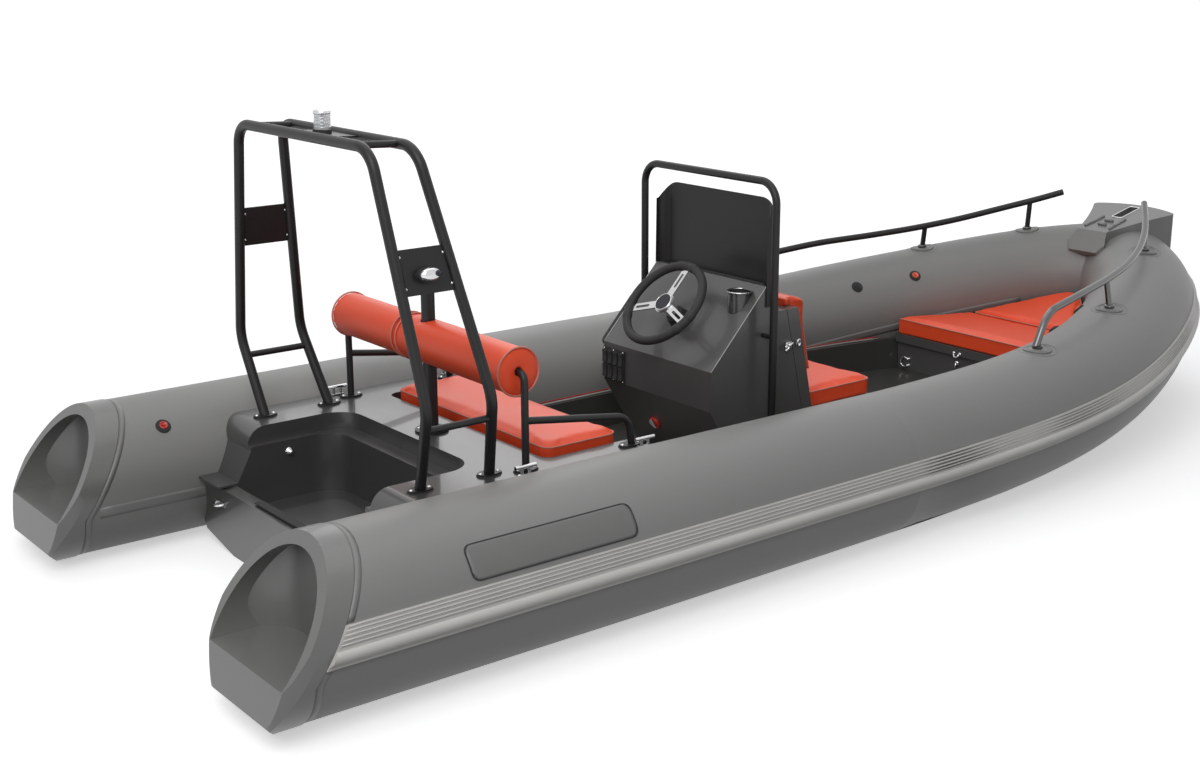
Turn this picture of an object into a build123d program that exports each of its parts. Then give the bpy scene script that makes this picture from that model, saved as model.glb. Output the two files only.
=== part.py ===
from build123d import *
import math
import os

# Open inflatable boat with a rigid V bottom, a steering console and a light arch.
# X points to the bow, Y to port and Z up. The origin is on the centreline at the water.
# All sizes are in millimetres.

# Air tubes
TUBE_AXIS_Z = 280.0
TUBE_AXIS_Y = 857.0
TUBE_STERN_R = 274.0
TUBE_BOW_R = 249.0
TUBE_TAPER_X = -952.0
TUBE_AFT_X = -2300.0
TUBE_RISE_X = 246.0
TUBE_RISE_END_X = 2750.0
TUBE_RISE_DEG = 10.26
PLAN_ARC_X = 1015.0
PLAN_ARC_R = 3030.0
PLAN_ARC_DEG = 31.17
BOW_ARC_R = 1078.0
BOW_ARC_DEG = 62.2
BOW_OVERRUN = 160.0
BOW_STATIONS = [TUBE_RISE_X, 650.0, PLAN_ARC_X, 1450.0, 1900.0, 2300.0, 2583.0, 2800.0]

# Clearance between pieces that seat on each other
SEAT = 0.3

# Rub strake along the outside of the tubes
STRAKE_LOW_DEG = -5.6
STRAKE_HIGH_DEG = 18.3
STRAKE_THICK = 8.0
STRAKE_BITE = 6.0
STRAKE_BEAD_LOW_DEG = -3.5
STRAKE_BEAD_HIGH_DEG = 4.5
STRAKE_BEAD = 13.0
STRAKE_AFT_X = -2290.0

# Moulded end caps of the tubes
CAP_PROUD = 4.0
CAP_TOP_X = -2108.0
CAP_SHELF_X = -2335.0
CAP_SHELF_Z = 205.0
CAP_LIP_X = -2362.0
CAP_LIP_Z = 80.0
CAP_BEVEL_X = -2290.0
CAP_CORNER_R = 120.0
CAP_RIM = 38.0
CAP_POCKET_X = -2092.0
CAP_POCKET_R = 150.0
CAP_BAND = 87.0
CAP_HEEL_X = -2235.0
CAP_WALL = 6.0

# Rigid hull
CHINE_IN = 206.0
CHINE_DROP = 219.0
KEEL_Z = -109.0
KEEL_RISE_X = 700.0
STEM_X = 2860.0
STEM_RISE = 415.0
STEM_POWER = 3.2
STEM_HALF = 14.0
HULL_STATIONS = [TUBE_RISE_X, 800.0, 1300.0, 1750.0, 2150.0, 2240.0, 2450.0, 2680.0, STEM_X]
SOLE_Z = 130.0
BILGE_DEPTH = 60.0
COAMING_Z = 276.0
COAMING_THICK = 22.0
COAMING_DRAFT = 12.0

# Transom
TRANSOM_X = -1690.0
TRANSOM_THICK = 50.0
TRANSOM_RAKE_DEG = 7.3
TRANSOM_TOP_Z = 282.0
TRANSOM_HALF = 560.0
TRANSOM_PAD_HALF = 190.0
TRANSOM_PAD_WIDTH = 34.0
TRANSOM_PAD_THICK = 5.0
ENGINE_SEAT_HALF = 205.0
ENGINE_SEAT_LOW_Z = 20.0
ENGINE_SEAT_PROUD = 4.0

# Aft deck with the splash well and the stern seat
DECK_Z = 480.0
DECK_FRONT_X = -655.0
DECK_SHOULDER_X = -1672.0
DECK_SHOULDER_R = 80.0
WELL_FRONT_X = -1250.0
WELL_HALF = 445.0
WELL_CORNER_R = 110.0
WELL_STEP_Z = 415.0
WELL_STEP = 70.0
WELL_FLOOR_Z = 190.0
WELL_HUMP_HALF = 190.0
WELL_HUMP_Z = 235.0
WELL_HUMP_FRONT_X = -1440.0

# Stern seat cushion
STERN_PAD_AFT_X = -1010.0
STERN_PAD_FRONT_X = -668.0
STERN_PAD_HALF = 515.0
STERN_PAD_TOP_Z = 508.0
STERN_PAD_THICK = 78.0
STERN_PAD_CORNER_R = 45.0
STERN_PAD_GAP = 14.0

# Light arch: two hoops of black tube
ARCH_R = 18.5
ARCH_KINK_R = 160.0
ARCH_CORNER_R = 95.0
# columns: name, foot x, kink x, top x, top z
ARCH_HOOPS = [
    ("aft", -1542.0, -1571.0, -1622.0, 1590.0),
    ("fore", -1271.0, -1322.0, -1456.0, 1582.0),
]
ARCH_FOOT_Y = 550.0
ARCH_KINK_Y = 656.0
ARCH_KINK_Z = 777.0
ARCH_TOP_Y = 453.0
FOOT_FLANGE_R = 45.0
FOOT_FLANGE_THICK = 8.0
ARCH_BAR_R = 12.0
ARCH_BAR_Z = 705.0
ARCH_PLATE_LOW_Z = 1132.0
ARCH_PLATE_HIGH_Z = 1276.0
ARCH_PLATE_THICK = 5.0
ARCH_ROOF_HALF = 120.0
LIGHT_R = 32.0
LIGHT_STEP = 4.0
LIGHT_BASE_THICK = 12.0
LIGHT_HEIGHT = 62.0
ROOF_HIGH = 4.0
SIDE_LIGHT_Z = 1190.0
SIDE_LIGHT_LENGTH = 84.0
SIDE_LIGHT_HEIGHT = 50.0
SIDE_LIGHT_THICK = 22.0

# Tow post
TOW_X = -1150.0
TOW_R = 25.0
TOW_TOP_Z = 1150.0
TOW_FLANGE_R = 62.0
TOW_CAP = 16.0
TOW_CAP_R = 30.0

# Backrest frame of the stern seat
BACKREST_X = -1150.0
BACKREST_Y = 592.0
BACKREST_Z = 818.0
BACKREST_R = 13.0
BACKREST_BEND_R = 29.0
ARMREST_Z = 655.0
ARMREST_FRONT_X = -690.0
ARMREST_FRONT_Z = 590.0
ARMREST_BEND_R = 60.0
BOLSTER_R = 85.0
BOLSTER_OUT = 562.0
BOLSTER_SPLIT_Y = 112.0
BOLSTER_GAP = 24.0

# Console
CONSOLE_HALF = 335.0
CONSOLE_WALL = 12.0
CONSOLE_AFT_X = -90.0
CONSOLE_KNEE_Z = 430.0
CONSOLE_KNEE_X = 90.0
DASH_AFT_Z = 590.0
DASH_TOP_X = 194.0
DASH_TOP_Z = 892.0
DASH_FALL = 10.0
HUMP_FRONT_X = 250.0
CONSOLE_TOP_Z = 785.0
SEAM_TOP_X = 307.0
SEAM_BOTTOM_X = 460.0
SEAM_GAP = 3.0

# Forward seat module that tilts forward off the console
MODULE_TOP_X = 372.0
MODULE_SEAT_X = 470.0
MODULE_SEAT_Z = 330.0
MODULE_FRONT_X = 862.0
MODULE_WALL = 12.0
TILT_X = 872.0
TILT_Z = 150.0
HINGE_Y = 220.0
HINGE_PIN_R = 4.0
HINGE_BARREL_R = 9.0
HINGE_KNUCKLE = 26.0
HINGE_LEAF = 36.0
HINGE_LEAF_THICK = 4.0
SEAT_PAD_FRONT_X = 880.0
SEAT_PAD_HALF = 300.0
SEAT_PAD_THICK = 72.0
BACK_PAD_LOW_Z = 490.0
BACK_PAD_TOP_Z = 818.0
BACK_PAD_ROUND = 30.0
BACK_PAD_THICK = 62.0
BACK_PAD_HALF = 300.0

# Windscreen and the tube that guards it
SCREEN_FRONT_X = 241.0
SCREEN_WING = 50.0
SCREEN_BEND_R = 46.0
SCREEN_THICK = 6.0
SCREEN_DRAW_IN = 6.0
SCREEN_TOP_Z = 1232.0
SCREEN_CORNER_R = 85.0
SCREEN_SKIRT = 82.0
GUARD_X = 179.0
GUARD_Y = 396.0
GUARD_TOP_Z = 1307.0
GUARD_CORNER_R = 85.0
GUARD_R = 15.5
GUARD_LOW_Z = 345.0
GUARD_STUB_Z = 700.0

# Steering wheel
WHEEL_HUB_X = -46.0
WHEEL_HUB_Z = 803.0
WHEEL_R = 199.0
WHEEL_RIM_R = 18.0
WHEEL_HUB_R = 44.0
WHEEL_BOSS_LENGTH = 60.0
WHEEL_BOSS_R = 26.0
SHAFT_R = 9.0
SHAFT_INSERTION = 44.0
SHAFT_END_PLAY = 8.0
SPOKE_WIDTH = 34.0
SPOKE_THICK = 5.0
SPOKE_ANGLES = [90.0, 200.0, 340.0]
COLUMN_R = 46.0
COLUMN_HEIGHT = 42.0

# Dash fittings
SWITCH_Y = 262.0
SWITCH_WIDTH = 138.0
SWITCH_HEIGHT = 136.0
SWITCH_Z = 502.0
SWITCH_THICK = 8.0
CUP_X = 135.0
CUP_Y = -245.0
CUP_R = 46.0
CUP_WALL = 3.0
CUP_DEPTH = 85.0
CUP_TOP_Z = 868.0
CUP_FLANGE = 7.0
CUP_FLANGE_THICK = 4.0
ISOLATOR_Y = 112.0
ISOLATOR_Z = 270.0
ISOLATOR_R = 28.0
LATCH_Z = 640.0
GRAB_R = 10.0

# Bow locker, its lid and cushions
LOCKER_X = 1862.0
LOCKER_WALL = 14.0
LID_AFT_X = 1846.0
LID_THICK = 30.0
LID_LIP = 40.0
FOLD_X = 2232.0
FOLD_GAP = 6.0
BOW_PAD_TOP_Z = 385.0
BOW_DECK_TIP_X = 2660.0
BOW_DECK_RISE = 100.0
BOW_DECK_THICK = 16.0
BOW_DECK_BITE = 60.0
PAD_TUBE_GAP = 14.0
LID_PAD_TUBE_GAP = 20.0

# Bow rails
RAIL_R = 15.5
RAIL_POST_R = 12.5
RAIL_BEND_SHARE = 0.45
RAIL_BEND_MAX = 2500.0
# columns: x, distance from the centreline, height
RAIL_POINTS = [
    (1242.0, 838.0, 580.0),
    (1318.0, 829.0, 716.0),
    (1600.0, 778.0, 744.0),
    (1880.0, 706.0, 758.0),
    (2140.0, 628.0, 778.0),
    (2370.0, 534.0, 813.0),
    (2560.0, 430.0, 860.0),
    (2710.0, 322.0, 905.0),
    (2816.0, 240.0, 943.0),
]
RAIL_POST_X = {"port": [2195.0, 2685.0], "starboard": [1890.0, 2664.0]}
RAIL_FOOT_R = 21.0
RAIL_FOOT_HEIGHT = 14.0
RAIL_PATCH_R = 58.0
RAIL_PATCH_THICK = 4.0

# Nose step on the bow
NOSE_NECK_X = 2750.0
NOSE_NECK_HALF = 85.0
NOSE_NECK_Z = 785.0
NOSE_CORNER_X = 3090.0
NOSE_CORNER_HALF = 240.0
NOSE_CORNER_R = 16.0
NOSE_TIP_X = 3137.0
NOSE_TIP_Z = 872.0
NOSE_SKIRT_Z = 640.0
NOSE_SKIRT_BACK = 62.0
NOSE_FLAP_X = 2676.0
NOSE_FLAP_HALF = 108.0
NOSE_FLAP_Z = 690.0
NOSE_FLAP_EDGE = 22.0
NOSE_SLOT_X = 2945.0
NOSE_SLOT_LENGTH = 160.0
NOSE_SLOT_WIDTH = 58.0
NOSE_SLOT_DEPTH = 30.0

# Small fittings
# columns: name, x, side of the boat
CLEATS = [("stern_port", -1185.0, 1), ("mid_port", -675.0, 1),
          ("stern_starboard", -1185.0, -1), ("mid_starboard", -672.0, -1)]
CLEAT_LENGTH = 84.0
CLEAT_Y = 641.0
CLEAT_BASE = 52.0
CLEAT_HORN_R = 7.0
CLEAT_POST_R = 6.0
CLEAT_HEIGHT = 34.0
EYE_Y = 470.0
EYE_Z = 215.0
EYE_R = 24.0
EYE_WIRE_R = 4.5
# columns: name, x, angle above the inward direction on the port tube
VALVES = [("stern", -1897.0, 46.6), ("middle", 1758.0, 43.6), ("bow", 2090.0, 41.7)]
VALVE_R = 22.0
BADGE_AFT_X = -1740.0
BADGE_FRONT_X = -1115.0
BADGE_LOW_DEG = 24.0
BADGE_HIGH_DEG = 58.0
BADGE_THICK = 1.5


def rad(degrees):
    return math.radians(degrees)


def heading(x):
    """Angle of the port tube's axis towards the centreline, in radians."""
    first_end = PLAN_ARC_X + PLAN_ARC_R * math.sin(rad(PLAN_ARC_DEG))
    if x <= PLAN_ARC_X:
        return 0.0
    if x <= first_end:
        return math.asin((x - PLAN_ARC_X) / PLAN_ARC_R)
    sine = math.sin(rad(PLAN_ARC_DEG)) + (x - first_end) / BOW_ARC_R
    return math.asin(min(sine, math.sin(rad(BOW_ARC_DEG))))


def tube_y(x):
    """Distance of the tube's axis from the centreline."""
    angle = heading(x)
    turn = rad(PLAN_ARC_DEG)
    if angle <= turn:
        return TUBE_AXIS_Y - PLAN_ARC_R * (1 - math.cos(angle))
    side = TUBE_AXIS_Y - PLAN_ARC_R * (1 - math.cos(turn))
    return side - BOW_ARC_R * (math.cos(turn) - math.cos(angle))


def tip_x():
    turn = math.sin(rad(PLAN_ARC_DEG))
    return PLAN_ARC_X + PLAN_ARC_R * turn + BOW_ARC_R * (math.sin(rad(BOW_ARC_DEG)) - turn)


def rise_slope(x):
    span = TUBE_RISE_END_X - TUBE_RISE_X
    return math.tan(rad(TUBE_RISE_DEG)) * min(max(x - TUBE_RISE_X, 0.0), span) / span


def tube_z(x):
    """Height of the tube's axis."""
    span = TUBE_RISE_END_X - TUBE_RISE_X
    curved = min(max(x - TUBE_RISE_X, 0.0), span)
    steep = math.tan(rad(TUBE_RISE_DEG))
    return TUBE_AXIS_Z + steep * curved ** 2 / (2 * span) + steep * max(x - TUBE_RISE_END_X, 0.0)


def tube_r(x):
    share = max(x - TUBE_TAPER_X, 0.0) / (tip_x() - TUBE_TAPER_X)
    return TUBE_STERN_R + (TUBE_BOW_R - TUBE_STERN_R) * share


def station(x, beyond=0.0):
    """Plane square to the port tube: its x runs outboard and its y runs up."""
    turn = heading(x)
    run = rise_slope(x) * math.cos(turn)
    along = Vector(math.cos(turn), -math.sin(turn), run).normalized()
    centre = Vector(x, tube_y(x), tube_z(x)) + along * beyond
    return Plane(origin=centre, x_dir=(math.sin(turn), math.cos(turn), 0), z_dir=along)


def follow_tube(profile, aft_x):
    """Run a profile, drawn for a tube radius, along the port tube as far as the centreline."""
    aft = station(aft_x) * profile(tube_r(aft_x))
    shoulder = station(TUBE_TAPER_X) * profile(tube_r(TUBE_TAPER_X))
    rise = station(TUBE_RISE_X) * profile(tube_r(TUBE_RISE_X))
    sections = [station(x) * profile(tube_r(x)) for x in BOW_STATIONS]
    tip = tip_x() - 0.01
    sections.append(station(tip) * profile(tube_r(tip)))
    sections.append(station(tip, BOW_OVERRUN) * profile(tube_r(tip)))
    body = loft([aft, shoulder], ruled=True) + loft([shoulder, rise], ruled=True)
    bow = loft(sections)
    keep = Pos(0, 2500, 0) * Box(12000, 5000, 4000)
    return (body + bow) & keep


def tube_cutter(extra):
    """Both tubes, thicker by extra, for trimming what seats against them."""
    port = follow_tube(lambda r: Circle(r + extra), TUBE_AFT_X - 600)
    return port + mirror(port, about=Plane.XZ)


def both_sides(shape):
    """A shape on the port side and its mirror image."""
    return shape, mirror(shape, about=Plane.XZ)


def pair(port):
    """One node that holds a shape on the port side and its mirror image."""
    solids = port.solids() + mirror(port, about=Plane.XZ).solids()
    return Compound(children=list(solids))


def polar(radius, degrees):
    return (radius * math.cos(rad(degrees)), radius * math.sin(rad(degrees)))


def arc(radius, start, end):
    return ThreePointArc(polar(radius, start), polar(radius, (start + end) / 2), polar(radius, end))


def band(r_in, r_out, low, high):
    """Flat ring sector between two radii and two angles."""
    edges = [arc(r_in, low, high), Line(polar(r_in, high), polar(r_out, high)),
             arc(r_out, high, low), Line(polar(r_out, low), polar(r_in, low))]
    return make_face(edges)


def strake_profile(r):
    inner = r - STRAKE_BITE
    outer = r + SEAT + STRAKE_THICK
    bead_mid = (STRAKE_BEAD_LOW_DEG + STRAKE_BEAD_HIGH_DEG) / 2
    bead = ThreePointArc(polar(outer, STRAKE_BEAD_HIGH_DEG), polar(outer + STRAKE_BEAD, bead_mid),
                         polar(outer, STRAKE_BEAD_LOW_DEG))
    edges = [arc(inner, STRAKE_LOW_DEG, STRAKE_HIGH_DEG),
             Line(polar(inner, STRAKE_HIGH_DEG), polar(outer, STRAKE_HIGH_DEG)),
             arc(outer, STRAKE_HIGH_DEG, STRAKE_BEAD_HIGH_DEG),
             bead,
             arc(outer, STRAKE_BEAD_LOW_DEG, STRAKE_LOW_DEG),
             Line(polar(outer, STRAKE_LOW_DEG), polar(inner, STRAKE_LOW_DEG))]
    return make_face(edges)


def side_plate(points, half_width, y=0.0):
    """Outline in the XZ plane, made solid by half_width to each side of y."""
    face = make_face(Polyline(*points, close=True))
    solid = extrude(Plane.XZ * face, half_width, both=True)
    return Pos(0, y, 0) * solid


def pipe(points, radii, radius):
    """Round tube along straight runs joined by arcs."""
    path = FilletPolyline(*points, radius=radii)
    start = Plane(origin=path @ 0, z_dir=path % 0)
    return sweep(start * Circle(radius), path=path)


def rod(start, end, radius):
    a = Vector(*start)
    b = Vector(*end)
    axis = b - a
    return extrude(Plane(origin=a, z_dir=axis) * Circle(radius), axis.length)


def cap_joint(extra):
    """Side view of what lies aft of the joint between a tube and its cap, moved forward by extra."""
    rise = TUBE_AXIS_Z + TUBE_STERN_R + CAP_PROUD
    lean = (CAP_TOP_X - CAP_SHELF_X) / (rise - CAP_SHELF_Z)
    over = 60
    points = [(CAP_TOP_X + CAP_BAND + over * lean + extra, rise + over),
              (CAP_SHELF_X + CAP_BAND + extra, CAP_SHELF_Z),
              (CAP_HEEL_X + extra, -over), (TUBE_AFT_X - 2 * TUBE_STERN_R, -over),
              (TUBE_AFT_X - 2 * TUBE_STERN_R, rise + over)]
    return side_plate(points, TUBE_STERN_R + over, TUBE_AXIS_Y)


def cap_hollow(extra):
    """Hollow of the port cap, larger by extra: it follows the rim and is rounded at its back."""
    half = TUBE_STERN_R + CAP_PROUD - CAP_RIM + extra
    back = CAP_POCKET_X + extra
    length = back - TUBE_AFT_X + CAP_POCKET_R + extra
    plan = RectangleRounded(2 * length, 2 * (half + CAP_WALL), CAP_POCKET_R + extra)
    prism = extrude(Pos(back - length, TUBE_AXIS_Y, CAP_SHELF_Z - extra) * plan, 2 * half)
    mouth = Plane(origin=(back, TUBE_AXIS_Y, TUBE_AXIS_Z), z_dir=(-1, 0, 0))
    return prism & extrude(mouth * Circle(half), length)


def make_tubes():
    port = follow_tube(lambda r: Circle(r), TUBE_AFT_X) - cap_joint(0) - cap_hollow(CAP_WALL + SEAT)
    return both_sides(port)


def make_strakes(cutter):
    port = follow_tube(strake_profile, STRAKE_AFT_X) - cutter - cap_joint(0)
    return both_sides(port)


def make_cap():
    """Port end cap: a slanted shell with a flat shelf and a scooped hollow that follows its rim."""
    r = TUBE_STERN_R + CAP_PROUD
    top = TUBE_AXIS_Z + r
    low = TUBE_AXIS_Z - r
    front = CAP_TOP_X + CAP_BAND
    outline = [(front, low), (CAP_BEVEL_X, low), (CAP_LIP_X, CAP_LIP_Z),
               (CAP_SHELF_X, CAP_SHELF_Z), (CAP_TOP_X, top), (front, top)]
    body = side_plate(outline, r, TUBE_AXIS_Y) & cap_joint(-SEAT)
    axis_plane = Plane(origin=(front, TUBE_AXIS_Y, TUBE_AXIS_Z), z_dir=(-1, 0, 0))
    length = front - CAP_LIP_X
    barrel = extrude(axis_plane * Circle(r), length)
    plan = Rectangle(2 * length, 2 * r)
    plan = fillet(plan.vertices().filter_by_position(Axis.X, -2 * length, -1), CAP_CORNER_R)
    rounded = extrude(Pos(front, TUBE_AXIS_Y, low) * plan, 2 * r)
    cup = cap_hollow(CAP_WALL) - cap_joint(-SEAT - 1)
    return (body & barrel & rounded) + cup - cap_hollow(0)


def chine_y(x):
    return max(tube_y(x) - CHINE_IN, STEM_HALF)


def chine_z(x):
    return tube_z(x) - CHINE_DROP


def keel_z(x):
    share = max(x - KEEL_RISE_X, 0.0) / (STEM_X - KEEL_RISE_X)
    return KEEL_Z + STEM_RISE * min(share, 1.0) ** STEM_POWER


def bow_slope():
    """Climb of the fixed bow deck for each millimetre forward of the fold."""
    return BOW_DECK_RISE / (BOW_DECK_TIP_X - FOLD_X)


def coaming_z(x):
    return COAMING_Z + max(x - FOLD_X, 0.0) * bow_slope()


def inner_y(x, z):
    """Inside face of the tube at a height, measured from the centreline."""
    drop = z - tube_z(x)
    return tube_y(x) - math.sqrt(max(tube_r(x) ** 2 - drop ** 2, 1.0)) / math.cos(heading(x))


def coaming_y(x):
    return max(inner_y(x, coaming_z(x)) - COAMING_THICK, STEM_HALF)


def sole_z(x):
    return max(SOLE_Z, keel_z(x) + BILGE_DEPTH)


def hull_section(x):
    """Half breadths of the hull, from the keel to the edge of the sole."""
    half = [(0.0, keel_z(x)),
            (chine_y(x), chine_z(x)),
            (chine_y(x) + CHINE_IN / 2, chine_z(x) + BILGE_DEPTH),
            (coaming_y(x) + 2 * COAMING_THICK, coaming_z(x)),
            (coaming_y(x), coaming_z(x)),
            (max(coaming_y(x) - COAMING_DRAFT, STEM_HALF / 2), min(sole_z(x), coaming_z(x) - 20)),
            (0.0, min(sole_z(x), coaming_z(x) - 20))]
    other = [(-y, z) for y, z in reversed(half[1:-1])]
    points = [(x, y, z) for y, z in half + other]
    return make_face(Polyline(*points, close=True))


def transom_plane(offset=0.0):
    lean = rad(TRANSOM_RAKE_DEG)
    origin = (TRANSOM_X - offset * math.cos(lean), 0, KEEL_Z - offset * math.sin(lean))
    return Plane(origin=origin, x_dir=(0, 1, 0), z_dir=(-math.cos(lean), 0, -math.sin(lean)))


def make_hull(cutter):
    start = TRANSOM_X - 120
    flat = extrude(hull_section(TUBE_RISE_X), start - TUBE_RISE_X, dir=(1, 0, 0))
    bow = loft([hull_section(x) for x in HULL_STATIONS], ruled=True)
    stern_cut = transom_plane(-SEAT) * Pos(0, 0, 300) * Box(2400, 2400, 600)
    return (flat + bow) - stern_cut - cutter


def make_transom(cutter):
    points = [(0, KEEL_Z), (chine_y(0), chine_z(0)), (TRANSOM_HALF + 120, COAMING_Z - 60),
              (TRANSOM_HALF + 60, TRANSOM_TOP_Z), (-TRANSOM_HALF - 60, TRANSOM_TOP_Z),
              (-TRANSOM_HALF - 120, COAMING_Z - 60), (-chine_y(0), chine_z(0))]
    outline = [(y, (z - KEEL_Z) / math.cos(rad(TRANSOM_RAKE_DEG))) for y, z in points]
    face = make_face(Polyline(*outline, close=True))
    plane = transom_plane(TRANSOM_THICK)
    up = plane.y_dir.Z
    if up < 0:
        face = make_face(Polyline(*[(y, -z) for y, z in outline], close=True))
    plate = extrude(plane * face, -TRANSOM_THICK)
    low = (ENGINE_SEAT_LOW_Z - KEEL_Z) / math.cos(rad(TRANSOM_RAKE_DEG))
    high = (TRANSOM_TOP_Z - KEEL_Z) / math.cos(rad(TRANSOM_RAKE_DEG))
    middle = (low + high) / 2 if up > 0 else -(low + high) / 2
    seat = plane * Pos(0, middle, 0) * RectangleRounded(2 * ENGINE_SEAT_HALF, high - low, 20)
    return (plate + extrude(seat, ENGINE_SEAT_PROUD)) - cutter


def rounded_box(x0, x1, half, z0, z1, corner):
    plan = RectangleRounded(x1 - x0, 2 * half, corner)
    return extrude(Pos((x0 + x1) / 2, 0, z0) * plan, z1 - z0)


def make_aft_deck(cutter):
    """Deck moulding between the tubes: shoulders, splash well, seat recess and seat front."""
    low_y = coaming_y(0) - COAMING_DRAFT - SEAT
    rim_y = coaming_y(0) - SEAT
    wide = TUBE_AXIS_Y - 60
    half = [(low_y, SOLE_Z + SEAT), (rim_y, COAMING_Z + SEAT), (wide, COAMING_Z + SEAT),
            (wide, DECK_Z)]
    points = half + [(-y, z) for y, z in reversed(half)]
    aft = TRANSOM_X + 40
    face = make_face(Polyline(*[(aft - 160, y, z) for y, z in points], close=True))
    body = extrude(face, DECK_FRONT_X - aft + 160, dir=(1, 0, 0))
    shoulder = [(TRANSOM_X - 200, DECK_Z + 50), (TRANSOM_X - 200, TRANSOM_TOP_Z + 8),
                (TRANSOM_X - 42, TRANSOM_TOP_Z + 8), (DECK_SHOULDER_X, DECK_Z - DECK_SHOULDER_R),
                (DECK_SHOULDER_X, DECK_Z + 50)]
    body -= side_plate(shoulder, 1000)
    corner = body.edges().filter_by(Axis.Y).filter_by_position(Axis.X, DECK_SHOULDER_X - 1,
                                                               DECK_SHOULDER_X + 1)
    body = fillet(corner.sort_by(Axis.Z)[-1:], DECK_SHOULDER_R * 0.95)
    stern = [(TRANSOM_X - 400, -200), (TRANSOM_X + SEAT, -200), (TRANSOM_X + SEAT, KEEL_Z),
             (TRANSOM_X - 50, TRANSOM_TOP_Z + SEAT), (TRANSOM_X - 400, TRANSOM_TOP_Z + SEAT)]
    body -= side_plate(stern, 1000)
    far_aft = TRANSOM_X - 300
    body -= rounded_box(far_aft, WELL_FRONT_X, WELL_HALF, WELL_STEP_Z, DECK_Z + 1, WELL_CORNER_R)
    deep = rounded_box(far_aft, WELL_FRONT_X - WELL_STEP, WELL_HALF - 30, WELL_FLOOR_Z,
                       WELL_STEP_Z + 1, WELL_CORNER_R)
    hump = rounded_box(TRANSOM_X - 100, WELL_HUMP_FRONT_X, WELL_HUMP_HALF, WELL_FLOOR_Z - 1,
                       WELL_HUMP_Z, 60)
    body -= deep - hump
    recess_z = STERN_PAD_TOP_Z - STERN_PAD_THICK - SEAT
    body -= rounded_box(STERN_PAD_AFT_X - STERN_PAD_GAP, DECK_FRONT_X + 300,
                        STERN_PAD_HALF + STERN_PAD_GAP, recess_z, DECK_Z + 1, STERN_PAD_CORNER_R)
    return body - cutter


def make_stern_pad():
    return rounded_box(STERN_PAD_AFT_X, STERN_PAD_FRONT_X, STERN_PAD_HALF,
                       STERN_PAD_TOP_Z - STERN_PAD_THICK, STERN_PAD_TOP_Z, STERN_PAD_CORNER_R)


def foot_flange(x, y, z):
    """Oval flange under a tube's foot, bolted to the deck."""
    return extrude(Pos(x, y, z + SEAT) * Ellipse(FOOT_FLANGE_R, FOOT_FLANGE_R * 0.62),
                   FOOT_FLANGE_THICK)


def make_arch_hoop(foot_x, kink_x, top_x, top_z):
    """One hoop with kinked legs, and a foot flange under each."""
    half = [(foot_x, ARCH_FOOT_Y, DECK_Z + SEAT), (kink_x, ARCH_KINK_Y, ARCH_KINK_Z),
            (top_x, ARCH_TOP_Y, top_z)]
    points = half + [(x, -y, z) for x, y, z in reversed(half)]
    radii = [ARCH_KINK_R, ARCH_CORNER_R, ARCH_CORNER_R, ARCH_KINK_R]
    hoop = pipe(points, radii, ARCH_R)
    for side in (1, -1):
        hoop += foot_flange(foot_x, side * ARCH_FOOT_Y, DECK_Z)
    floor = Pos(foot_x, 0, DECK_Z + SEAT - 100) * Box(300, 1400, 200)
    return hoop - floor


def leg_point(hoop, z):
    """Centre of a hoop's port leg at a height above the kink."""
    name, foot_x, kink_x, top_x, top_z = hoop
    share = (z - ARCH_KINK_Z) / (top_z - ARCH_KINK_Z)
    if share < 0:
        share = (z - DECK_Z) / (ARCH_KINK_Z - DECK_Z)
        return (foot_x + (kink_x - foot_x) * share,
                ARCH_FOOT_Y + (ARCH_KINK_Y - ARCH_FOOT_Y) * share, z)
    return (kink_x + (top_x - kink_x) * share,
            ARCH_KINK_Y + (ARCH_TOP_Y - ARCH_KINK_Y) * share, z)


def make_arch_bars():
    """Short bars between the hoops: one low on each side and one at each top corner."""
    aft, fore = ARCH_HOOPS
    bars = []
    low_a = leg_point(aft, ARCH_BAR_Z)
    low_f = leg_point(fore, ARCH_BAR_Z)
    bars.append(rod((low_a[0], low_a[1], ARCH_BAR_Z), (low_f[0], low_f[1], ARCH_BAR_Z), ARCH_BAR_R))
    top_y = ARCH_TOP_Y - ARCH_CORNER_R
    bars.append(rod((aft[3], top_y, aft[4]), (fore[3], top_y, fore[4]), ARCH_BAR_R))
    port = bars[0] + bars[1]
    return port + mirror(port, about=Plane.XZ)


def make_arch_plate():
    """Port side plate between the legs of the two hoops."""
    aft, fore = ARCH_HOOPS
    corners = []
    for hoop, z in ((aft, ARCH_PLATE_LOW_Z), (fore, ARCH_PLATE_LOW_Z),
                    (fore, ARCH_PLATE_HIGH_Z), (aft, ARCH_PLATE_HIGH_Z)):
        corners.append((leg_point(hoop, z)[0], leg_point(aft, z)[1], z))
    face = make_face(Polyline(*corners, close=True))
    return extrude(face, ARCH_PLATE_THICK / 2, both=True)


def make_arch_roof():
    aft, fore = ARCH_HOOPS
    points = [(aft[3], aft[4] + ROOF_HIGH), (fore[3], fore[4] + ROOF_HIGH),
              (fore[3], fore[4] - 2), (aft[3], aft[4] - 2)]
    return side_plate(points, ARCH_ROOF_HALF)


def make_tow_post():
    """Upright post for a tow line, with a foot flange and a collar round its top."""
    foot = Pos(TOW_X, 0, DECK_Z + SEAT)
    post = extrude(foot * Circle(TOW_FLANGE_R), FOOT_FLANGE_THICK)
    post += extrude(foot * Circle(TOW_R), TOW_TOP_Z - DECK_Z - SEAT)
    collar = Pos(TOW_X, 0, TOW_TOP_Z - TOW_CAP)
    return post + extrude(collar * Circle(TOW_CAP_R), TOW_CAP)


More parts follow.
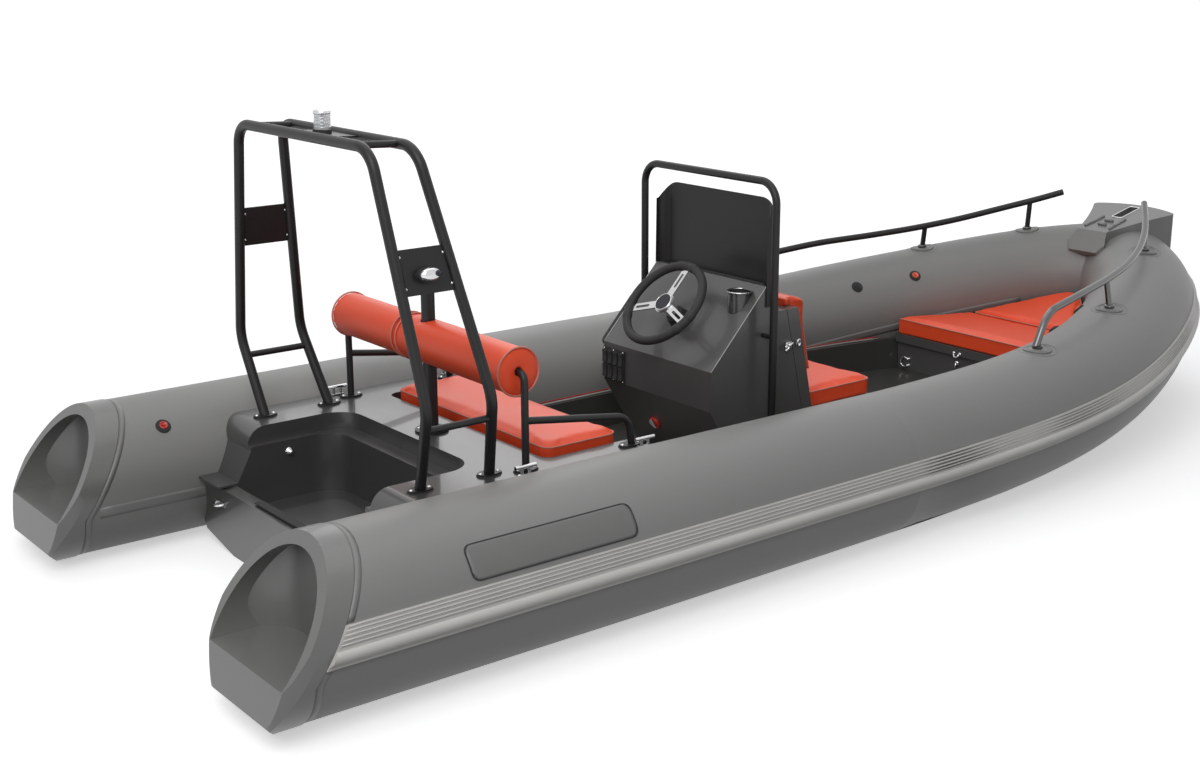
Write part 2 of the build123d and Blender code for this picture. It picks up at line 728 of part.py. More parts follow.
def tow_cutter():
    return Pos(TOW_X, 0, TOW_TOP_Z / 2) * Cylinder(TOW_R + SEAT, TOW_TOP_Z)


def make_backrest_frame():
    half = [(BACKREST_X, BACKREST_Y, DECK_Z + SEAT), (BACKREST_X, BACKREST_Y, BACKREST_Z)]
    points = half + [(x, -y, z) for x, y, z in reversed(half)]
    frame = pipe(points, [BACKREST_BEND_R, BACKREST_BEND_R], BACKREST_R)
    arm = [(BACKREST_X, BACKREST_Y, ARMREST_Z), (ARMREST_FRONT_X - 20, BACKREST_Y, ARMREST_FRONT_Z),
           (ARMREST_FRONT_X, BACKREST_Y, DECK_Z + SEAT)]
    for side in (1, -1):
        frame += pipe([(x, side * y, z) for x, y, z in arm], [ARMREST_BEND_R], BACKREST_R)
        frame += foot_flange(BACKREST_X, side * BACKREST_Y, DECK_Z)
        frame += foot_flange(ARMREST_FRONT_X - 8, side * BACKREST_Y, DECK_Z)
    floor = Pos(BACKREST_X + 250, 0, DECK_Z + SEAT - 100) * Box(1000, 1400, 200)
    return frame - floor - tow_cutter()


def make_bolster(y0, y1):
    """Roll of the backrest between two distances from the centreline, round the cross tube."""
    plane = Plane(origin=(BACKREST_X, y0, BACKREST_Z), z_dir=(0, 1, 0))
    roll = extrude(plane * Circle(BOLSTER_R), y1 - y0)
    return roll - extrude(plane * Circle(BACKREST_R + SEAT), y1 - y0) - tow_cutter()


def seam_x(z):
    """Slanted joint between the console and the seat module ahead of it."""
    share = (CONSOLE_TOP_Z - z) / (CONSOLE_TOP_Z - SOLE_Z)
    return SEAM_TOP_X + (SEAM_BOTTOM_X - SEAM_TOP_X) * share


def make_console():
    low = SOLE_Z + SEAT
    outline = [(CONSOLE_KNEE_X, low), (CONSOLE_AFT_X, CONSOLE_KNEE_Z), (CONSOLE_AFT_X, DASH_AFT_Z),
               (DASH_TOP_X, DASH_TOP_Z), (HUMP_FRONT_X, DASH_TOP_Z - DASH_FALL),
               (HUMP_FRONT_X + 14, CONSOLE_TOP_Z), (SEAM_TOP_X, CONSOLE_TOP_Z),
               (seam_x(low), low)]
    t = CONSOLE_WALL
    slope = math.hypot(DASH_TOP_X - CONSOLE_AFT_X, DASH_TOP_Z - DASH_AFT_Z)
    drop = t * slope / (DASH_TOP_X - CONSOLE_AFT_X)
    inner = [(CONSOLE_KNEE_X + 1.2 * t, low - 1), (CONSOLE_AFT_X + t, CONSOLE_KNEE_Z + 4),
             (CONSOLE_AFT_X + t, DASH_AFT_Z - 6), (DASH_TOP_X + 4, DASH_TOP_Z - drop),
             (HUMP_FRONT_X - t, DASH_TOP_Z - drop), (HUMP_FRONT_X, CONSOLE_TOP_Z - t),
             (SEAM_TOP_X + 100, CONSOLE_TOP_Z - t), (seam_x(low) + 100, low - 1)]
    return side_plate(outline, CONSOLE_HALF) - side_plate(inner, CONSOLE_HALF - t)


def make_module():
    """Seat module: a hollow backrest and seat box in one moulding, open towards the console."""
    low = SOLE_Z + 6
    t = MODULE_WALL
    outline = [(seam_x(low) + SEAM_GAP, low), (SEAM_TOP_X + SEAM_GAP, CONSOLE_TOP_Z),
               (MODULE_TOP_X, CONSOLE_TOP_Z), (MODULE_SEAT_X, MODULE_SEAT_Z),
               (MODULE_FRONT_X, MODULE_SEAT_Z), (MODULE_FRONT_X, low)]
    inner = [(seam_x(low) - 60, low - 1), (SEAM_TOP_X - 60, CONSOLE_TOP_Z - t),
             (MODULE_TOP_X - t, CONSOLE_TOP_Z - t), (MODULE_SEAT_X - t, MODULE_SEAT_Z - t),
             (MODULE_FRONT_X - t, MODULE_SEAT_Z - t), (MODULE_FRONT_X - t, low - 1)]
    return side_plate(outline, CONSOLE_HALF) - side_plate(inner, CONSOLE_HALF - t)


def hinge_barrel(y, length, radius):
    """Round bar on the tilt axis, centred at a distance from the centreline."""
    return extrude(Plane(origin=(TILT_X, y - length / 2, TILT_Z), z_dir=(0, 1, 0))
                   * Circle(radius), length)


def make_module_hinges():
    """Two hinges at the foot of the seat box: fixed leaves with pins, and moving knuckles."""
    fixed = []
    moving = []
    top = SOLE_Z + SEAT + HINGE_LEAF_THICK
    for y in (HINGE_Y, -HINGE_Y):
        leaf = Pos(TILT_X + HINGE_LEAF / 2 - HINGE_BARREL_R, y, top - HINGE_LEAF_THICK / 2)
        part = leaf * Box(HINGE_LEAF, HINGE_KNUCKLE, HINGE_LEAF_THICK)
        part += Pos(TILT_X, y, (top + TILT_Z) / 2) * Box(HINGE_BARREL_R, HINGE_KNUCKLE, TILT_Z - top)
        part += hinge_barrel(y, HINGE_KNUCKLE, HINGE_BARREL_R)
        part += hinge_barrel(y, 3 * HINGE_KNUCKLE + 4, HINGE_PIN_R)
        fixed.append(part)
        for side in (1, -1):
            place = y + side * (HINGE_KNUCKLE + 2 * SEAT)
            knuckle = hinge_barrel(place, HINGE_KNUCKLE, HINGE_BARREL_R)
            tongue_x = (MODULE_FRONT_X + SEAT + TILT_X) / 2
            knuckle += Pos(tongue_x, place, TILT_Z + HINGE_BARREL_R) * Box(
                TILT_X - MODULE_FRONT_X - SEAT, HINGE_KNUCKLE, 2 * HINGE_BARREL_R)
            knuckle -= hinge_barrel(place, 2 * HINGE_KNUCKLE, HINGE_PIN_R + SEAT)
            moving.append(knuckle)
    return Compound(children=fixed), Compound(children=moving)


def make_seat_pads():
    z0 = MODULE_SEAT_Z + SEAT
    back_x = MODULE_SEAT_X + 2
    seat = rounded_box(back_x, SEAT_PAD_FRONT_X, SEAT_PAD_HALF, z0, z0 + SEAT_PAD_THICK, 40)
    lean = (MODULE_SEAT_X - MODULE_TOP_X) / (CONSOLE_TOP_Z - MODULE_SEAT_Z)
    x_low = MODULE_SEAT_X - lean * (BACK_PAD_LOW_Z - MODULE_SEAT_Z) + SEAT * 1.1
    x_top = MODULE_SEAT_X - lean * (CONSOLE_TOP_Z - MODULE_SEAT_Z) + SEAT * 1.1
    top = CONSOLE_TOP_Z + SEAT
    points = [(x_low, BACK_PAD_LOW_Z), (x_top, top), (SEAM_TOP_X + SEAM_GAP + 12, top),
              (SEAM_TOP_X + SEAM_GAP + 12, BACK_PAD_TOP_Z),
              (x_top + BACK_PAD_THICK, BACK_PAD_TOP_Z), (x_low + BACK_PAD_THICK, BACK_PAD_LOW_Z)]
    back = side_plate(points, BACK_PAD_HALF)
    front_top = back.edges().filter_by(Axis.Y).sort_by(Axis.Z)[-2:].sort_by(Axis.X)[-1:]
    back = fillet(front_top, BACK_PAD_ROUND)
    return seat, back


def make_screen():
    """Tinted screen bent round the console: a front and two wings fixed to the console's sides."""
    half = CONSOLE_HALF + SEAT + SCREEN_THICK
    depth = SCREEN_WING + SCREEN_BEND_R
    outer = RectangleRounded(2 * depth, 2 * half, SCREEN_BEND_R)
    inner = RectangleRounded(2 * (depth - SCREEN_THICK), 2 * (half - SCREEN_THICK),
                             SCREEN_BEND_R - SCREEN_THICK)
    keep = Pos(depth - SCREEN_WING / 2, 0) * Rectangle(SCREEN_WING, 2 * half)
    low = DASH_TOP_Z - SCREEN_SKIRT
    plan = Pos(SCREEN_FRONT_X - depth, 0, low) * ((outer - inner) & keep)
    wall = extrude(plan, SCREEN_TOP_Z - low)
    face = make_face(Polyline((-half, low), (SCREEN_DRAW_IN - half, SCREEN_TOP_Z),
                              (half - SCREEN_DRAW_IN, SCREEN_TOP_Z), (half, low), close=True))
    face = fillet(face.vertices().sort_by(Axis.Y)[-2:], SCREEN_CORNER_R)
    front = extrude(Plane.YZ * face, 2 * SCREEN_FRONT_X, both=True)
    rest = SEAT * 1.02
    top = [(DASH_TOP_X - SCREEN_WING, DASH_TOP_Z + rest), (DASH_TOP_X, DASH_TOP_Z + rest),
           (HUMP_FRONT_X, DASH_TOP_Z - DASH_FALL + rest), (HUMP_FRONT_X, low - 50),
           (DASH_TOP_X - SCREEN_WING, low - 50)]
    return (wall & front) - side_plate(top, CONSOLE_HALF + SEAT * 0.5)


def make_guard():
    """Tube hoop outside the screen, bent in to the console's sides at its lower ends."""
    half = [(GUARD_X, CONSOLE_HALF + SEAT, GUARD_LOW_Z - 20),
            (GUARD_X, GUARD_Y, GUARD_LOW_Z),
            (GUARD_X, GUARD_Y, GUARD_TOP_Z)]
    points = half + [(x, -y, z) for x, y, z in reversed(half)]
    guard = pipe(points, [24, GUARD_CORNER_R, GUARD_CORNER_R, 24], GUARD_R)
    for side in (1, -1):
        guard += rod((GUARD_X, side * (CONSOLE_HALF + SEAT), GUARD_STUB_Z),
                     (GUARD_X, side * GUARD_Y, GUARD_STUB_Z), 9)
    inside = Pos(GUARD_X, 0, 0) * Box(200, 2 * (CONSOLE_HALF + SEAT), 2 * CONSOLE_TOP_Z)
    return guard - inside


def dash_plane(distance=0.0):
    """Plane along the dash, centred under the wheel; its z points at the helmsman."""
    run = DASH_TOP_X - CONSOLE_AFT_X
    climb = DASH_TOP_Z - DASH_AFT_Z
    length = math.hypot(run, climb)
    normal = Vector(-climb / length, 0, run / length)
    hub = Vector(WHEEL_HUB_X, 0, WHEEL_HUB_Z)
    foot = Vector(CONSOLE_AFT_X, 0, DASH_AFT_Z)
    reach = (hub - foot).dot(normal)
    centre = hub - normal * reach
    return Plane(origin=centre + normal * distance, x_dir=(0, -1, 0), z_dir=normal), reach


def make_wheel():
    """Steering wheel: padded rim, slotted spokes with their hub, centre cap and fixed column."""
    plane, reach = dash_plane(0)
    hub_plane = dash_plane(reach)[0]
    rim = hub_plane * Torus(WHEEL_R - WHEEL_RIM_R, WHEEL_RIM_R)
    spokes = Circle(WHEEL_HUB_R)
    inner = WHEEL_R - 2 * WHEEL_RIM_R - SEAT
    for angle in SPOKE_ANGLES:
        arm = Pos(inner / 2, 0) * Rectangle(inner, SPOKE_WIDTH)
        slot = Pos(inner * 0.68, 0) * SlotOverall(inner * 0.42, SPOKE_WIDTH * 0.36)
        spokes += Rot(0, 0, angle) * (arm - slot)
    spokes &= Circle(inner)
    spider = extrude(hub_plane * spokes, -SPOKE_THICK)
    cap = extrude(hub_plane * Pos(0, 0, SEAT) * Circle(WHEEL_HUB_R - 8), 9)
    spider += extrude(hub_plane * Circle(WHEEL_BOSS_R), -WHEEL_BOSS_LENGTH)
    boss_end = hub_plane * Pos(0, 0, -WHEEL_BOSS_LENGTH)
    spider -= extrude(boss_end * Circle(SHAFT_R + SEAT), SHAFT_INSERTION + SHAFT_END_PLAY)
    column = extrude(plane * Pos(0, 0, SEAT) * Circle(COLUMN_R), COLUMN_HEIGHT, taper=12)
    shaft_length = reach - WHEEL_BOSS_LENGTH + SHAFT_INSERTION - SEAT
    shaft = extrude(plane * Pos(0, 0, SEAT) * Circle(SHAFT_R), shaft_length)
    return rim, spider, cap, column + shaft


def make_switches():
    x = CONSOLE_AFT_X - SEAT
    plate = Pos(x - SWITCH_THICK / 2, SWITCH_Y, SWITCH_Z) * Box(SWITCH_THICK, SWITCH_WIDTH,
                                                               SWITCH_HEIGHT)
    pitch = SWITCH_WIDTH / 4
    for row in (1, -1):
        for column in range(4):
            y = SWITCH_Y + (column - 1.5) * pitch
            rocker = Box(8, pitch * 0.78, SWITCH_HEIGHT * 0.4)
            plate += Pos(x - SWITCH_THICK - 3, y, SWITCH_Z + row * SWITCH_HEIGHT / 4.4) * rocker
    return plate


def cup_solid(extra):
    """Outside of the drop-in cup holder, thicker by extra."""
    z0 = CUP_TOP_Z - CUP_DEPTH
    cup = extrude(Pos(CUP_X, CUP_Y, z0 - extra) * Circle(CUP_R + extra), CUP_DEPTH + extra)
    flange = Pos(CUP_X, CUP_Y, CUP_TOP_Z - CUP_FLANGE_THICK - extra)
    return cup + extrude(flange * Circle(CUP_R + CUP_FLANGE + extra), CUP_FLANGE_THICK + extra)


def make_cup():
    """Cup holder set into the dash."""
    hollow = Pos(CUP_X, CUP_Y, CUP_TOP_Z - CUP_DEPTH + CUP_WALL)
    return cup_solid(0) - extrude(hollow * Circle(CUP_R - CUP_WALL), CUP_DEPTH)


def knee_plane(z):
    share = (CONSOLE_KNEE_Z - z) / (CONSOLE_KNEE_Z - SOLE_Z)
    x = CONSOLE_AFT_X + (CONSOLE_KNEE_X - CONSOLE_AFT_X) * share
    run = CONSOLE_KNEE_X - CONSOLE_AFT_X
    drop = CONSOLE_KNEE_Z - SOLE_Z
    length = math.hypot(run, drop)
    return Plane(origin=(x, ISOLATOR_Y, z), z_dir=(-drop / length, 0, -run / length))


def make_isolator():
    knob = knee_plane(ISOLATOR_Z) * Pos(0, 0, SEAT) * Circle(ISOLATOR_R)
    return extrude(knob, 12)


def make_grab():
    """Grab rail beside the dash on the port side."""
    y0 = CONSOLE_HALF + SEAT
    points = [(-60, y0, 560), (-60, y0 + 42, 580), (110, y0 + 42, 762), (110, y0, 744)]
    return pipe(points, [18, 18], GRAB_R) - Box(2000, 2 * y0, 4000)


def make_latch():
    """Over-centre latch on the console's starboard side, across the seam."""
    x = seam_x(LATCH_Z)
    y = -CONSOLE_HALF - SEAT
    base = Pos(x - 26, y - 5, LATCH_Z) * Box(34, 10, 26)
    keeper = Pos(x + 24, y - 5, LATCH_Z) * Box(22, 10, 22)
    return base, keeper


def between_stations(x, value):
    """A hull value at x, on the straight line between its two nearest stations."""
    for low, high in zip(HULL_STATIONS, HULL_STATIONS[1:]):
        if x <= high:
            return value(low) + (value(high) - value(low)) * (x - low) / (high - low)
    return value(HULL_STATIONS[-1])


def make_locker():
    """Aft wall of the bow locker, fitted between the coamings and down to the sole."""
    top = between_stations(LOCKER_X + LOCKER_WALL, coaming_y) - SEAT
    low = top - COAMING_DRAFT
    points = [(low, SOLE_Z + SEAT), (top, COAMING_Z), (-top, COAMING_Z), (-low, SOLE_Z + SEAT)]
    face = make_face(Polyline(*[(LOCKER_X, y, z) for y, z in points], close=True))
    return extrude(face, LOCKER_WALL, dir=(1, 0, 0))


def pad_outline(x0, x1, count, gap):
    """Plan of a bow piece that follows the inside of the tubes."""
    xs = [x0 + (x1 - x0) * i / (count - 1) for i in range(count)]
    port = []
    for x in xs:
        height = BOW_PAD_TOP_Z + max(x - FOLD_X, 0) * bow_slope()
        port.append((x, max(inner_y(x, min(height, tube_z(x))) - gap, 30.0)))
    return port


def plan_solid(outline, z0, z1):
    points = outline + [(x, -y) for x, y in reversed(outline)]
    face = make_face(Polyline(*points, close=True))
    return extrude(Pos(0, 0, z0) * face, z1 - z0)


def lid_z():
    return COAMING_Z + SEAT


def make_lid():
    """Locker lid with a lip down its aft edge."""
    plan = pad_outline(LID_AFT_X, FOLD_X - FOLD_GAP / 2, 5, PAD_TUBE_GAP)
    lid = plan_solid(plan, lid_z(), lid_z() + LID_THICK)
    half = coaming_y(LOCKER_X) - PAD_TUBE_GAP
    lip_low = lid_z() + LID_THICK - LID_LIP
    lip = Pos(LID_AFT_X + 6, 0, lip_low + LID_LIP / 2) * Box(12, 2 * half, LID_LIP)
    return lid + lip


def sloped_slab(low, thick):
    """Side view of a sheet that climbs with the bow deck, starting at a height."""
    x0 = FOLD_X + FOLD_GAP / 2
    points = [(x0, low), (BOW_DECK_TIP_X, low + BOW_DECK_RISE),
              (BOW_DECK_TIP_X, low + BOW_DECK_RISE + thick), (x0, low + thick)]
    return side_plate(points, TUBE_AXIS_Y)


def make_bow_deck(cutter):
    """Fixed deck ahead of the lid, sloping up to the bow."""
    plan = pad_outline(FOLD_X + FOLD_GAP / 2, BOW_DECK_TIP_X, 6, -BOW_DECK_BITE)
    block = plan_solid(plan, COAMING_Z, COAMING_Z + 300)
    return (block & sloped_slab(lid_z() + LID_THICK - BOW_DECK_THICK, BOW_DECK_THICK)) - cutter


def make_bow_pads():
    """Cushion on the lid and cushion on the fixed bow deck, meeting at the sewn fold."""
    low = lid_z() + LID_THICK + SEAT
    plan = pad_outline(LID_AFT_X - 6, FOLD_X - FOLD_GAP / 2, 5, LID_PAD_TUBE_GAP)
    aft = plan_solid(plan, low, BOW_PAD_TOP_Z)
    plan = pad_outline(FOLD_X + FOLD_GAP / 2, BOW_DECK_TIP_X, 6, PAD_TUBE_GAP)
    block = plan_solid(plan, low - 100, low + 600)
    return aft, (block & sloped_slab(low, BOW_PAD_TOP_Z - low)) - tube_cutter(PAD_TUBE_GAP / 2)


def crown_spot(x):
    """Plane on the crown of the port tube, square to its skin, at a distance forward."""
    slope = math.atan(rise_slope(x) * math.cos(heading(x)))
    base = station(x + tube_r(x) * math.sin(slope) * math.cos(heading(x)))
    return Plane(origin=base.origin + base.y_dir * (tube_r(x) + SEAT), z_dir=base.y_dir)


def rail_feet(side):
    """Feet of one rail on the crown of its tube: the bent aft end, then the posts."""
    return [RAIL_POINTS[0][0]] + RAIL_POST_X[side]


def rail_height(x):
    """Point of the rail's line at a distance forward."""
    for low, high in zip(RAIL_POINTS[1:-1], RAIL_POINTS[2:]):
        if x <= high[0]:
            share = (x - low[0]) / (high[0] - low[0])
            return (low[1] + (high[1] - low[1]) * share, low[2] + (high[2] - low[2]) * share)
    return RAIL_POINTS[-1][1:]


def make_rail(side, sign):
    """Bow rail: bent tube, posts and a round foot under each, trimmed to the patches."""
    points = [(x, sign * y, z) for x, y, z in RAIL_POINTS]
    radii = []
    for i in range(1, len(points) - 1):
        a, b, c = (Vector(*points[j]) for j in (i - 1, i, i + 1))
        turn = rad((b - a).get_angle(c - b))
        shorter = min((b - a).length, (c - b).length)
        radii.append(min(RAIL_BEND_SHARE * shorter / math.tan(turn / 2), RAIL_BEND_MAX))
    rail = pipe(points, radii, RAIL_R)
    for x in RAIL_POST_X[side]:
        y, z = rail_height(x)
        foot = crown_spot(x).origin
        rail += rod((foot.X, sign * foot.Y, foot.Z), (x, sign * y, z), RAIL_POST_R)
    for x in rail_feet(side):
        spot = crown_spot(x)
        foot = extrude(spot * Pos(0, 0, -10) * Circle(RAIL_FOOT_R), RAIL_FOOT_HEIGHT + 10)
        rail += foot if sign > 0 else mirror(foot, about=Plane.XZ)
    return rail - tube_cutter(RAIL_PATCH_THICK + SEAT)


def make_rail_patches(cutter):
    """Round fabric patches under the rail feet."""
    skin = tube_cutter(RAIL_PATCH_THICK)
    patches = []
    for side, sign in (("port", 1), ("starboard", -1)):
        for x in rail_feet(side):
            spot = crown_spot(x)
            disc = extrude(spot * Pos(0, 0, -40) * Circle(RAIL_PATCH_R), 80)
            disc = disc if sign > 0 else mirror(disc, about=Plane.XZ)
            patches.append((disc & skin) - cutter)
    return Compound(children=[solid for patch in patches for solid in patch.solids()])


def make_nose(cutter):
    """Moulded step over the bow: a fan-shaped top, skirts and a flap down its aft side."""
    side = [(NOSE_NECK_X, NOSE_NECK_Z), (NOSE_TIP_X, NOSE_TIP_Z),
            (NOSE_TIP_X - NOSE_SKIRT_BACK, NOSE_SKIRT_Z), (NOSE_NECK_X, NOSE_SKIRT_Z)]
    neck = (NOSE_NECK_X, NOSE_NECK_HALF)
    corner = (NOSE_CORNER_X, NOSE_CORNER_HALF)
    waist = ((NOSE_NECK_X + NOSE_CORNER_X) / 2, NOSE_NECK_HALF + 0.42 * (corner[1] - neck[1]))
    plan = make_face([ThreePointArc(neck, waist, corner),
                      ThreePointArc(corner, (NOSE_TIP_X, 0), (corner[0], -corner[1])),
                      ThreePointArc((corner[0], -corner[1]), (waist[0], -waist[1]),
                                    (neck[0], -neck[1])),
                      Line((neck[0], -neck[1]), neck)])
    plan = fillet(plan.vertices().sort_by(Axis.X)[-2:], NOSE_CORNER_R)
    top = side_plate(side, NOSE_CORNER_HALF) & extrude(Pos(0, 0, 500) * plan, 600)
    slope = math.atan2(NOSE_TIP_Z - NOSE_NECK_Z, NOSE_TIP_X - NOSE_NECK_X)
    slot_z = NOSE_NECK_Z + (NOSE_SLOT_X - NOSE_NECK_X) * math.tan(slope)
    slot = Plane(origin=(NOSE_SLOT_X, 0, slot_z), x_dir=(math.cos(slope), 0, math.sin(slope)),
                 z_dir=(-math.sin(slope), 0, math.cos(slope)))
    opening = slot * Pos(NOSE_SLOT_LENGTH / 2, 0, 0)
    top -= opening * Box(NOSE_SLOT_LENGTH, NOSE_SLOT_WIDTH, 2 * NOSE_SLOT_DEPTH)
    drape = [(NOSE_NECK_X, NOSE_NECK_Z), (NOSE_FLAP_X, NOSE_FLAP_Z),
             (NOSE_FLAP_X + NOSE_FLAP_EDGE, NOSE_FLAP_Z - NOSE_FLAP_EDGE),
             (NOSE_NECK_X, NOSE_FLAP_Z - NOSE_FLAP_EDGE)]
    flap_plan = make_face(Polyline(neck, (NOSE_FLAP_X + 30, NOSE_FLAP_HALF),
                                   (NOSE_FLAP_X, NOSE_FLAP_HALF - 30),
                                   (NOSE_FLAP_X, -NOSE_FLAP_HALF + 30),
                                   (NOSE_FLAP_X + 30, -NOSE_FLAP_HALF), (neck[0], -neck[1]),
                                   close=True))
    flap = side_plate(drape, NOSE_FLAP_HALF) & extrude(Pos(0, 0, 500) * flap_plan, 600)
    return (top + flap) - cutter


def make_cleat(x, side):
    """Two-horned cleat on the side deck."""
    y = side * CLEAT_Y
    z = DECK_Z + SEAT
    cleat = Pos(x, y, z + 3) * Box(CLEAT_BASE, 3.4 * CLEAT_POST_R, 6)
    for end in (-1, 1):
        post = Pos(x + end * (CLEAT_BASE / 2 - CLEAT_POST_R - 5), y, z + 5) * Circle(CLEAT_POST_R)
        cleat += extrude(post, CLEAT_HEIGHT - 8)
    half = CLEAT_LENGTH / 2
    return cleat + rod((x - half, y, z + CLEAT_HEIGHT), (x + half, y, z + CLEAT_HEIGHT), CLEAT_HORN_R)


def make_eye(side):
    """Wire eye on the transom."""
    plane = transom_plane(TRANSOM_THICK + SEAT)
    up = 1 if plane.y_dir.Z > 0 else -1
    height = (EYE_Z - KEEL_Z) / math.cos(rad(TRANSOM_RAKE_DEG))
    spot = plane * Pos(side * EYE_Y, up * height, 0)
    plate = spot * Pos(0, 0, 2) * Box(2 * EYE_R + 24, 20, 4)
    ring = spot * Rot(90, 0, 0) * Torus(EYE_R, EYE_WIRE_R)
    front = spot * Pos(0, 0, 60) * Box(200, 200, 120)
    return plate + (ring & front)


def surface_spot(x, degrees):
    """Plane on the skin of the port tube at an angle above the outboard direction."""
    base = station(x)
    direction = base.x_dir * math.cos(rad(degrees)) + base.y_dir * math.sin(rad(degrees))
    return Plane(origin=base.origin + direction * (tube_r(x) + SEAT), z_dir=direction)


def make_valves(cutter):
    """Air valves on the inboard side of the port tube."""
    solids = []
    for name, x, degrees in VALVES:
        spot = surface_spot(x, 180 - degrees)
        solids += (extrude(spot * Pos(0, 0, -4) * Circle(VALVE_R), 12) - cutter).solids()
    return Compound(children=solids)


def make_badge():
    """Blank patch bonded on the outside of the port tube."""
    length = BADGE_FRONT_X - BADGE_AFT_X
    ring = band(TUBE_STERN_R + SEAT, TUBE_STERN_R + SEAT + BADGE_THICK, BADGE_LOW_DEG,
                BADGE_HIGH_DEG)
    return extrude(station(BADGE_AFT_X) * ring, length)


def make_mast_light():
    """All-round light on the arch roof: black base and clear lens."""
    aft, fore = ARCH_HOOPS
    roof = Plane(origin=((aft[3] + fore[3]) / 2, 0, (aft[4] + fore[4]) / 2 + ROOF_HIGH + SEAT),
                 z_dir=(aft[4] - fore[4], 0, fore[3] - aft[3]))
    base = extrude(roof * Circle(LIGHT_R), LIGHT_BASE_THICK)
    lens = roof * Pos(0, 0, LIGHT_BASE_THICK + SEAT) * Circle(LIGHT_R - LIGHT_STEP)
    return base, extrude(lens, LIGHT_HEIGHT)


def make_side_light():
    """Oval light on the outside of the port side plate."""
    aft, fore = ARCH_HOOPS
    x = (leg_point(aft, SIDE_LIGHT_Z)[0] + leg_point(fore, SIDE_LIGHT_Z)[0]) / 2
    low = leg_point(aft, ARCH_PLATE_LOW_Z)
    high = leg_point(aft, ARCH_PLATE_HIGH_Z)
    share = (SIDE_LIGHT_Z - low[2]) / (high[2] - low[2])
    y = low[1] + (high[1] - low[1]) * share
    normal = Vector(0, high[2] - low[2], low[1] - high[1]).normalized()
    out = ARCH_PLATE_THICK / 2 + SEAT
    spot = Plane(origin=Vector(x, y, SIDE_LIGHT_Z) + normal * out, x_dir=(1, 0, 0),
                 z_dir=normal)
    return extrude(spot * Ellipse(SIDE_LIGHT_LENGTH / 2, SIDE_LIGHT_HEIGHT / 2), SIDE_LIGHT_THICK)


def make_transom_pad():
    """Black strip along the inner edge of the transom top, under an outboard's clamps."""
    lean = rad(TRANSOM_RAKE_DEG)
    top_x = TRANSOM_X - (TRANSOM_TOP_Z - KEEL_Z) * math.tan(lean)
    pad = Box(TRANSOM_PAD_WIDTH, 2 * TRANSOM_PAD_HALF, TRANSOM_PAD_THICK)
    middle = TRANSOM_TOP_Z + SEAT + TRANSOM_PAD_THICK / 2
    return Pos(top_x - TRANSOM_PAD_WIDTH / 2 - 4, 0, middle) * pad


def build():
    nodes = {}
    cutter = tube_cutter(SEAT)
    nodes["tube_port"], nodes["tube_starboard"] = make_tubes()
    nodes["rub_strake_port"], nodes["rub_strake_starboard"] = make_strakes(cutter)
    nodes["end_cap_port"], nodes["end_cap_starboard"] = both_sides(make_cap())
    nodes["hull_bottom"] = make_hull(cutter)
    nodes["transom"] = make_transom(cutter)
    nodes["aft_deck"] = make_aft_deck(cutter)
    nodes["stern_cushion"] = make_stern_pad()
    for name, foot_x, kink_x, top_x, top_z in ARCH_HOOPS:
        nodes["arch_hoop_" + name] = make_arch_hoop(foot_x, kink_x, top_x, top_z)
    hoops = nodes["arch_hoop_aft"] + nodes["arch_hoop_fore"]
    nodes["arch_bars"] = make_arch_bars() - hoops
    nodes["arch_plates"] = pair(make_arch_plate() - hoops)
    nodes["arch_roof"] = make_arch_roof() - hoops
    nodes["tow_post"] = make_tow_post()
    nodes["backrest_frame"] = make_backrest_frame()
    split = BOLSTER_SPLIT_Y + BOLSTER_GAP / 2
    nodes["bolster_port"] = make_bolster(split, BOLSTER_OUT)
    nodes["bolster_starboard"] = make_bolster(-BOLSTER_OUT, split - BOLSTER_GAP)
    nodes["console_body"] = make_console() - cup_solid(SEAT)
    nodes["seat_module"] = make_module()
    nodes["module_hinges"], nodes["module_knuckles"] = make_module_hinges()
    nodes["seat_cushion"], nodes["seat_back_cushion"] = make_seat_pads()
    nodes["windscreen"] = make_screen()
    nodes["screen_guard"] = make_guard()
    wheel = make_wheel()
    nodes["wheel_rim"], nodes["wheel_spokes"], nodes["wheel_cap"], nodes["steering_column"] = wheel
    nodes["switch_panel"] = make_switches()
    nodes["cup_holder"] = make_cup()
    nodes["battery_switch"] = make_isolator()
    nodes["grab_rail"] = make_grab()
    nodes["console_latch"], nodes["module_keeper"] = make_latch()
    nodes["bow_locker_wall"] = make_locker()
    nodes["bow_lid"] = make_lid()
    nodes["bow_deck"] = make_bow_deck(cutter)
    nodes["bow_cushion_aft"], nodes["bow_cushion_fore"] = make_bow_pads()
    nodes["bow_rail_port"] = make_rail("port", 1)
    nodes["bow_rail_starboard"] = make_rail("starboard", -1)
    nodes["rail_patches"] = make_rail_patches(cutter)
    nodes["nose_step"] = make_nose(cutter)
    nodes["tube_patches"] = pair(make_badge())
    nodes["stern_eyes"] = pair(make_eye(1))
    nodes["cleats"] = Compound(children=[make_cleat(x, side) for name, x, side in CLEATS])
    nodes["valves"] = pair(make_valves(cutter))
    nodes["mast_light_base"], nodes["mast_light_lens"] = make_mast_light()
    nodes["side_lights"] = pair(make_side_light())
    nodes["transom_pad"] = make_transom_pad()
    return nodes


def main():
    os.makedirs("parts", exist_ok=True)
    for name, shape in build().items():
        solids = shape.solids()
        piece = solids[0] if len(solids) == 1 else Compound(children=list(solids))
        piece.label = name
        export_step(piece, os.path.join("parts", name + ".step"))


main()
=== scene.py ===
"""Looks of an open inflatable boat with a rigid V bottom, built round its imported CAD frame.

Every length is in metres and every place is in the CAD model's own frame: X to the bow, Y to
port, Z up, with the origin on the centreline at the waterline.
"""

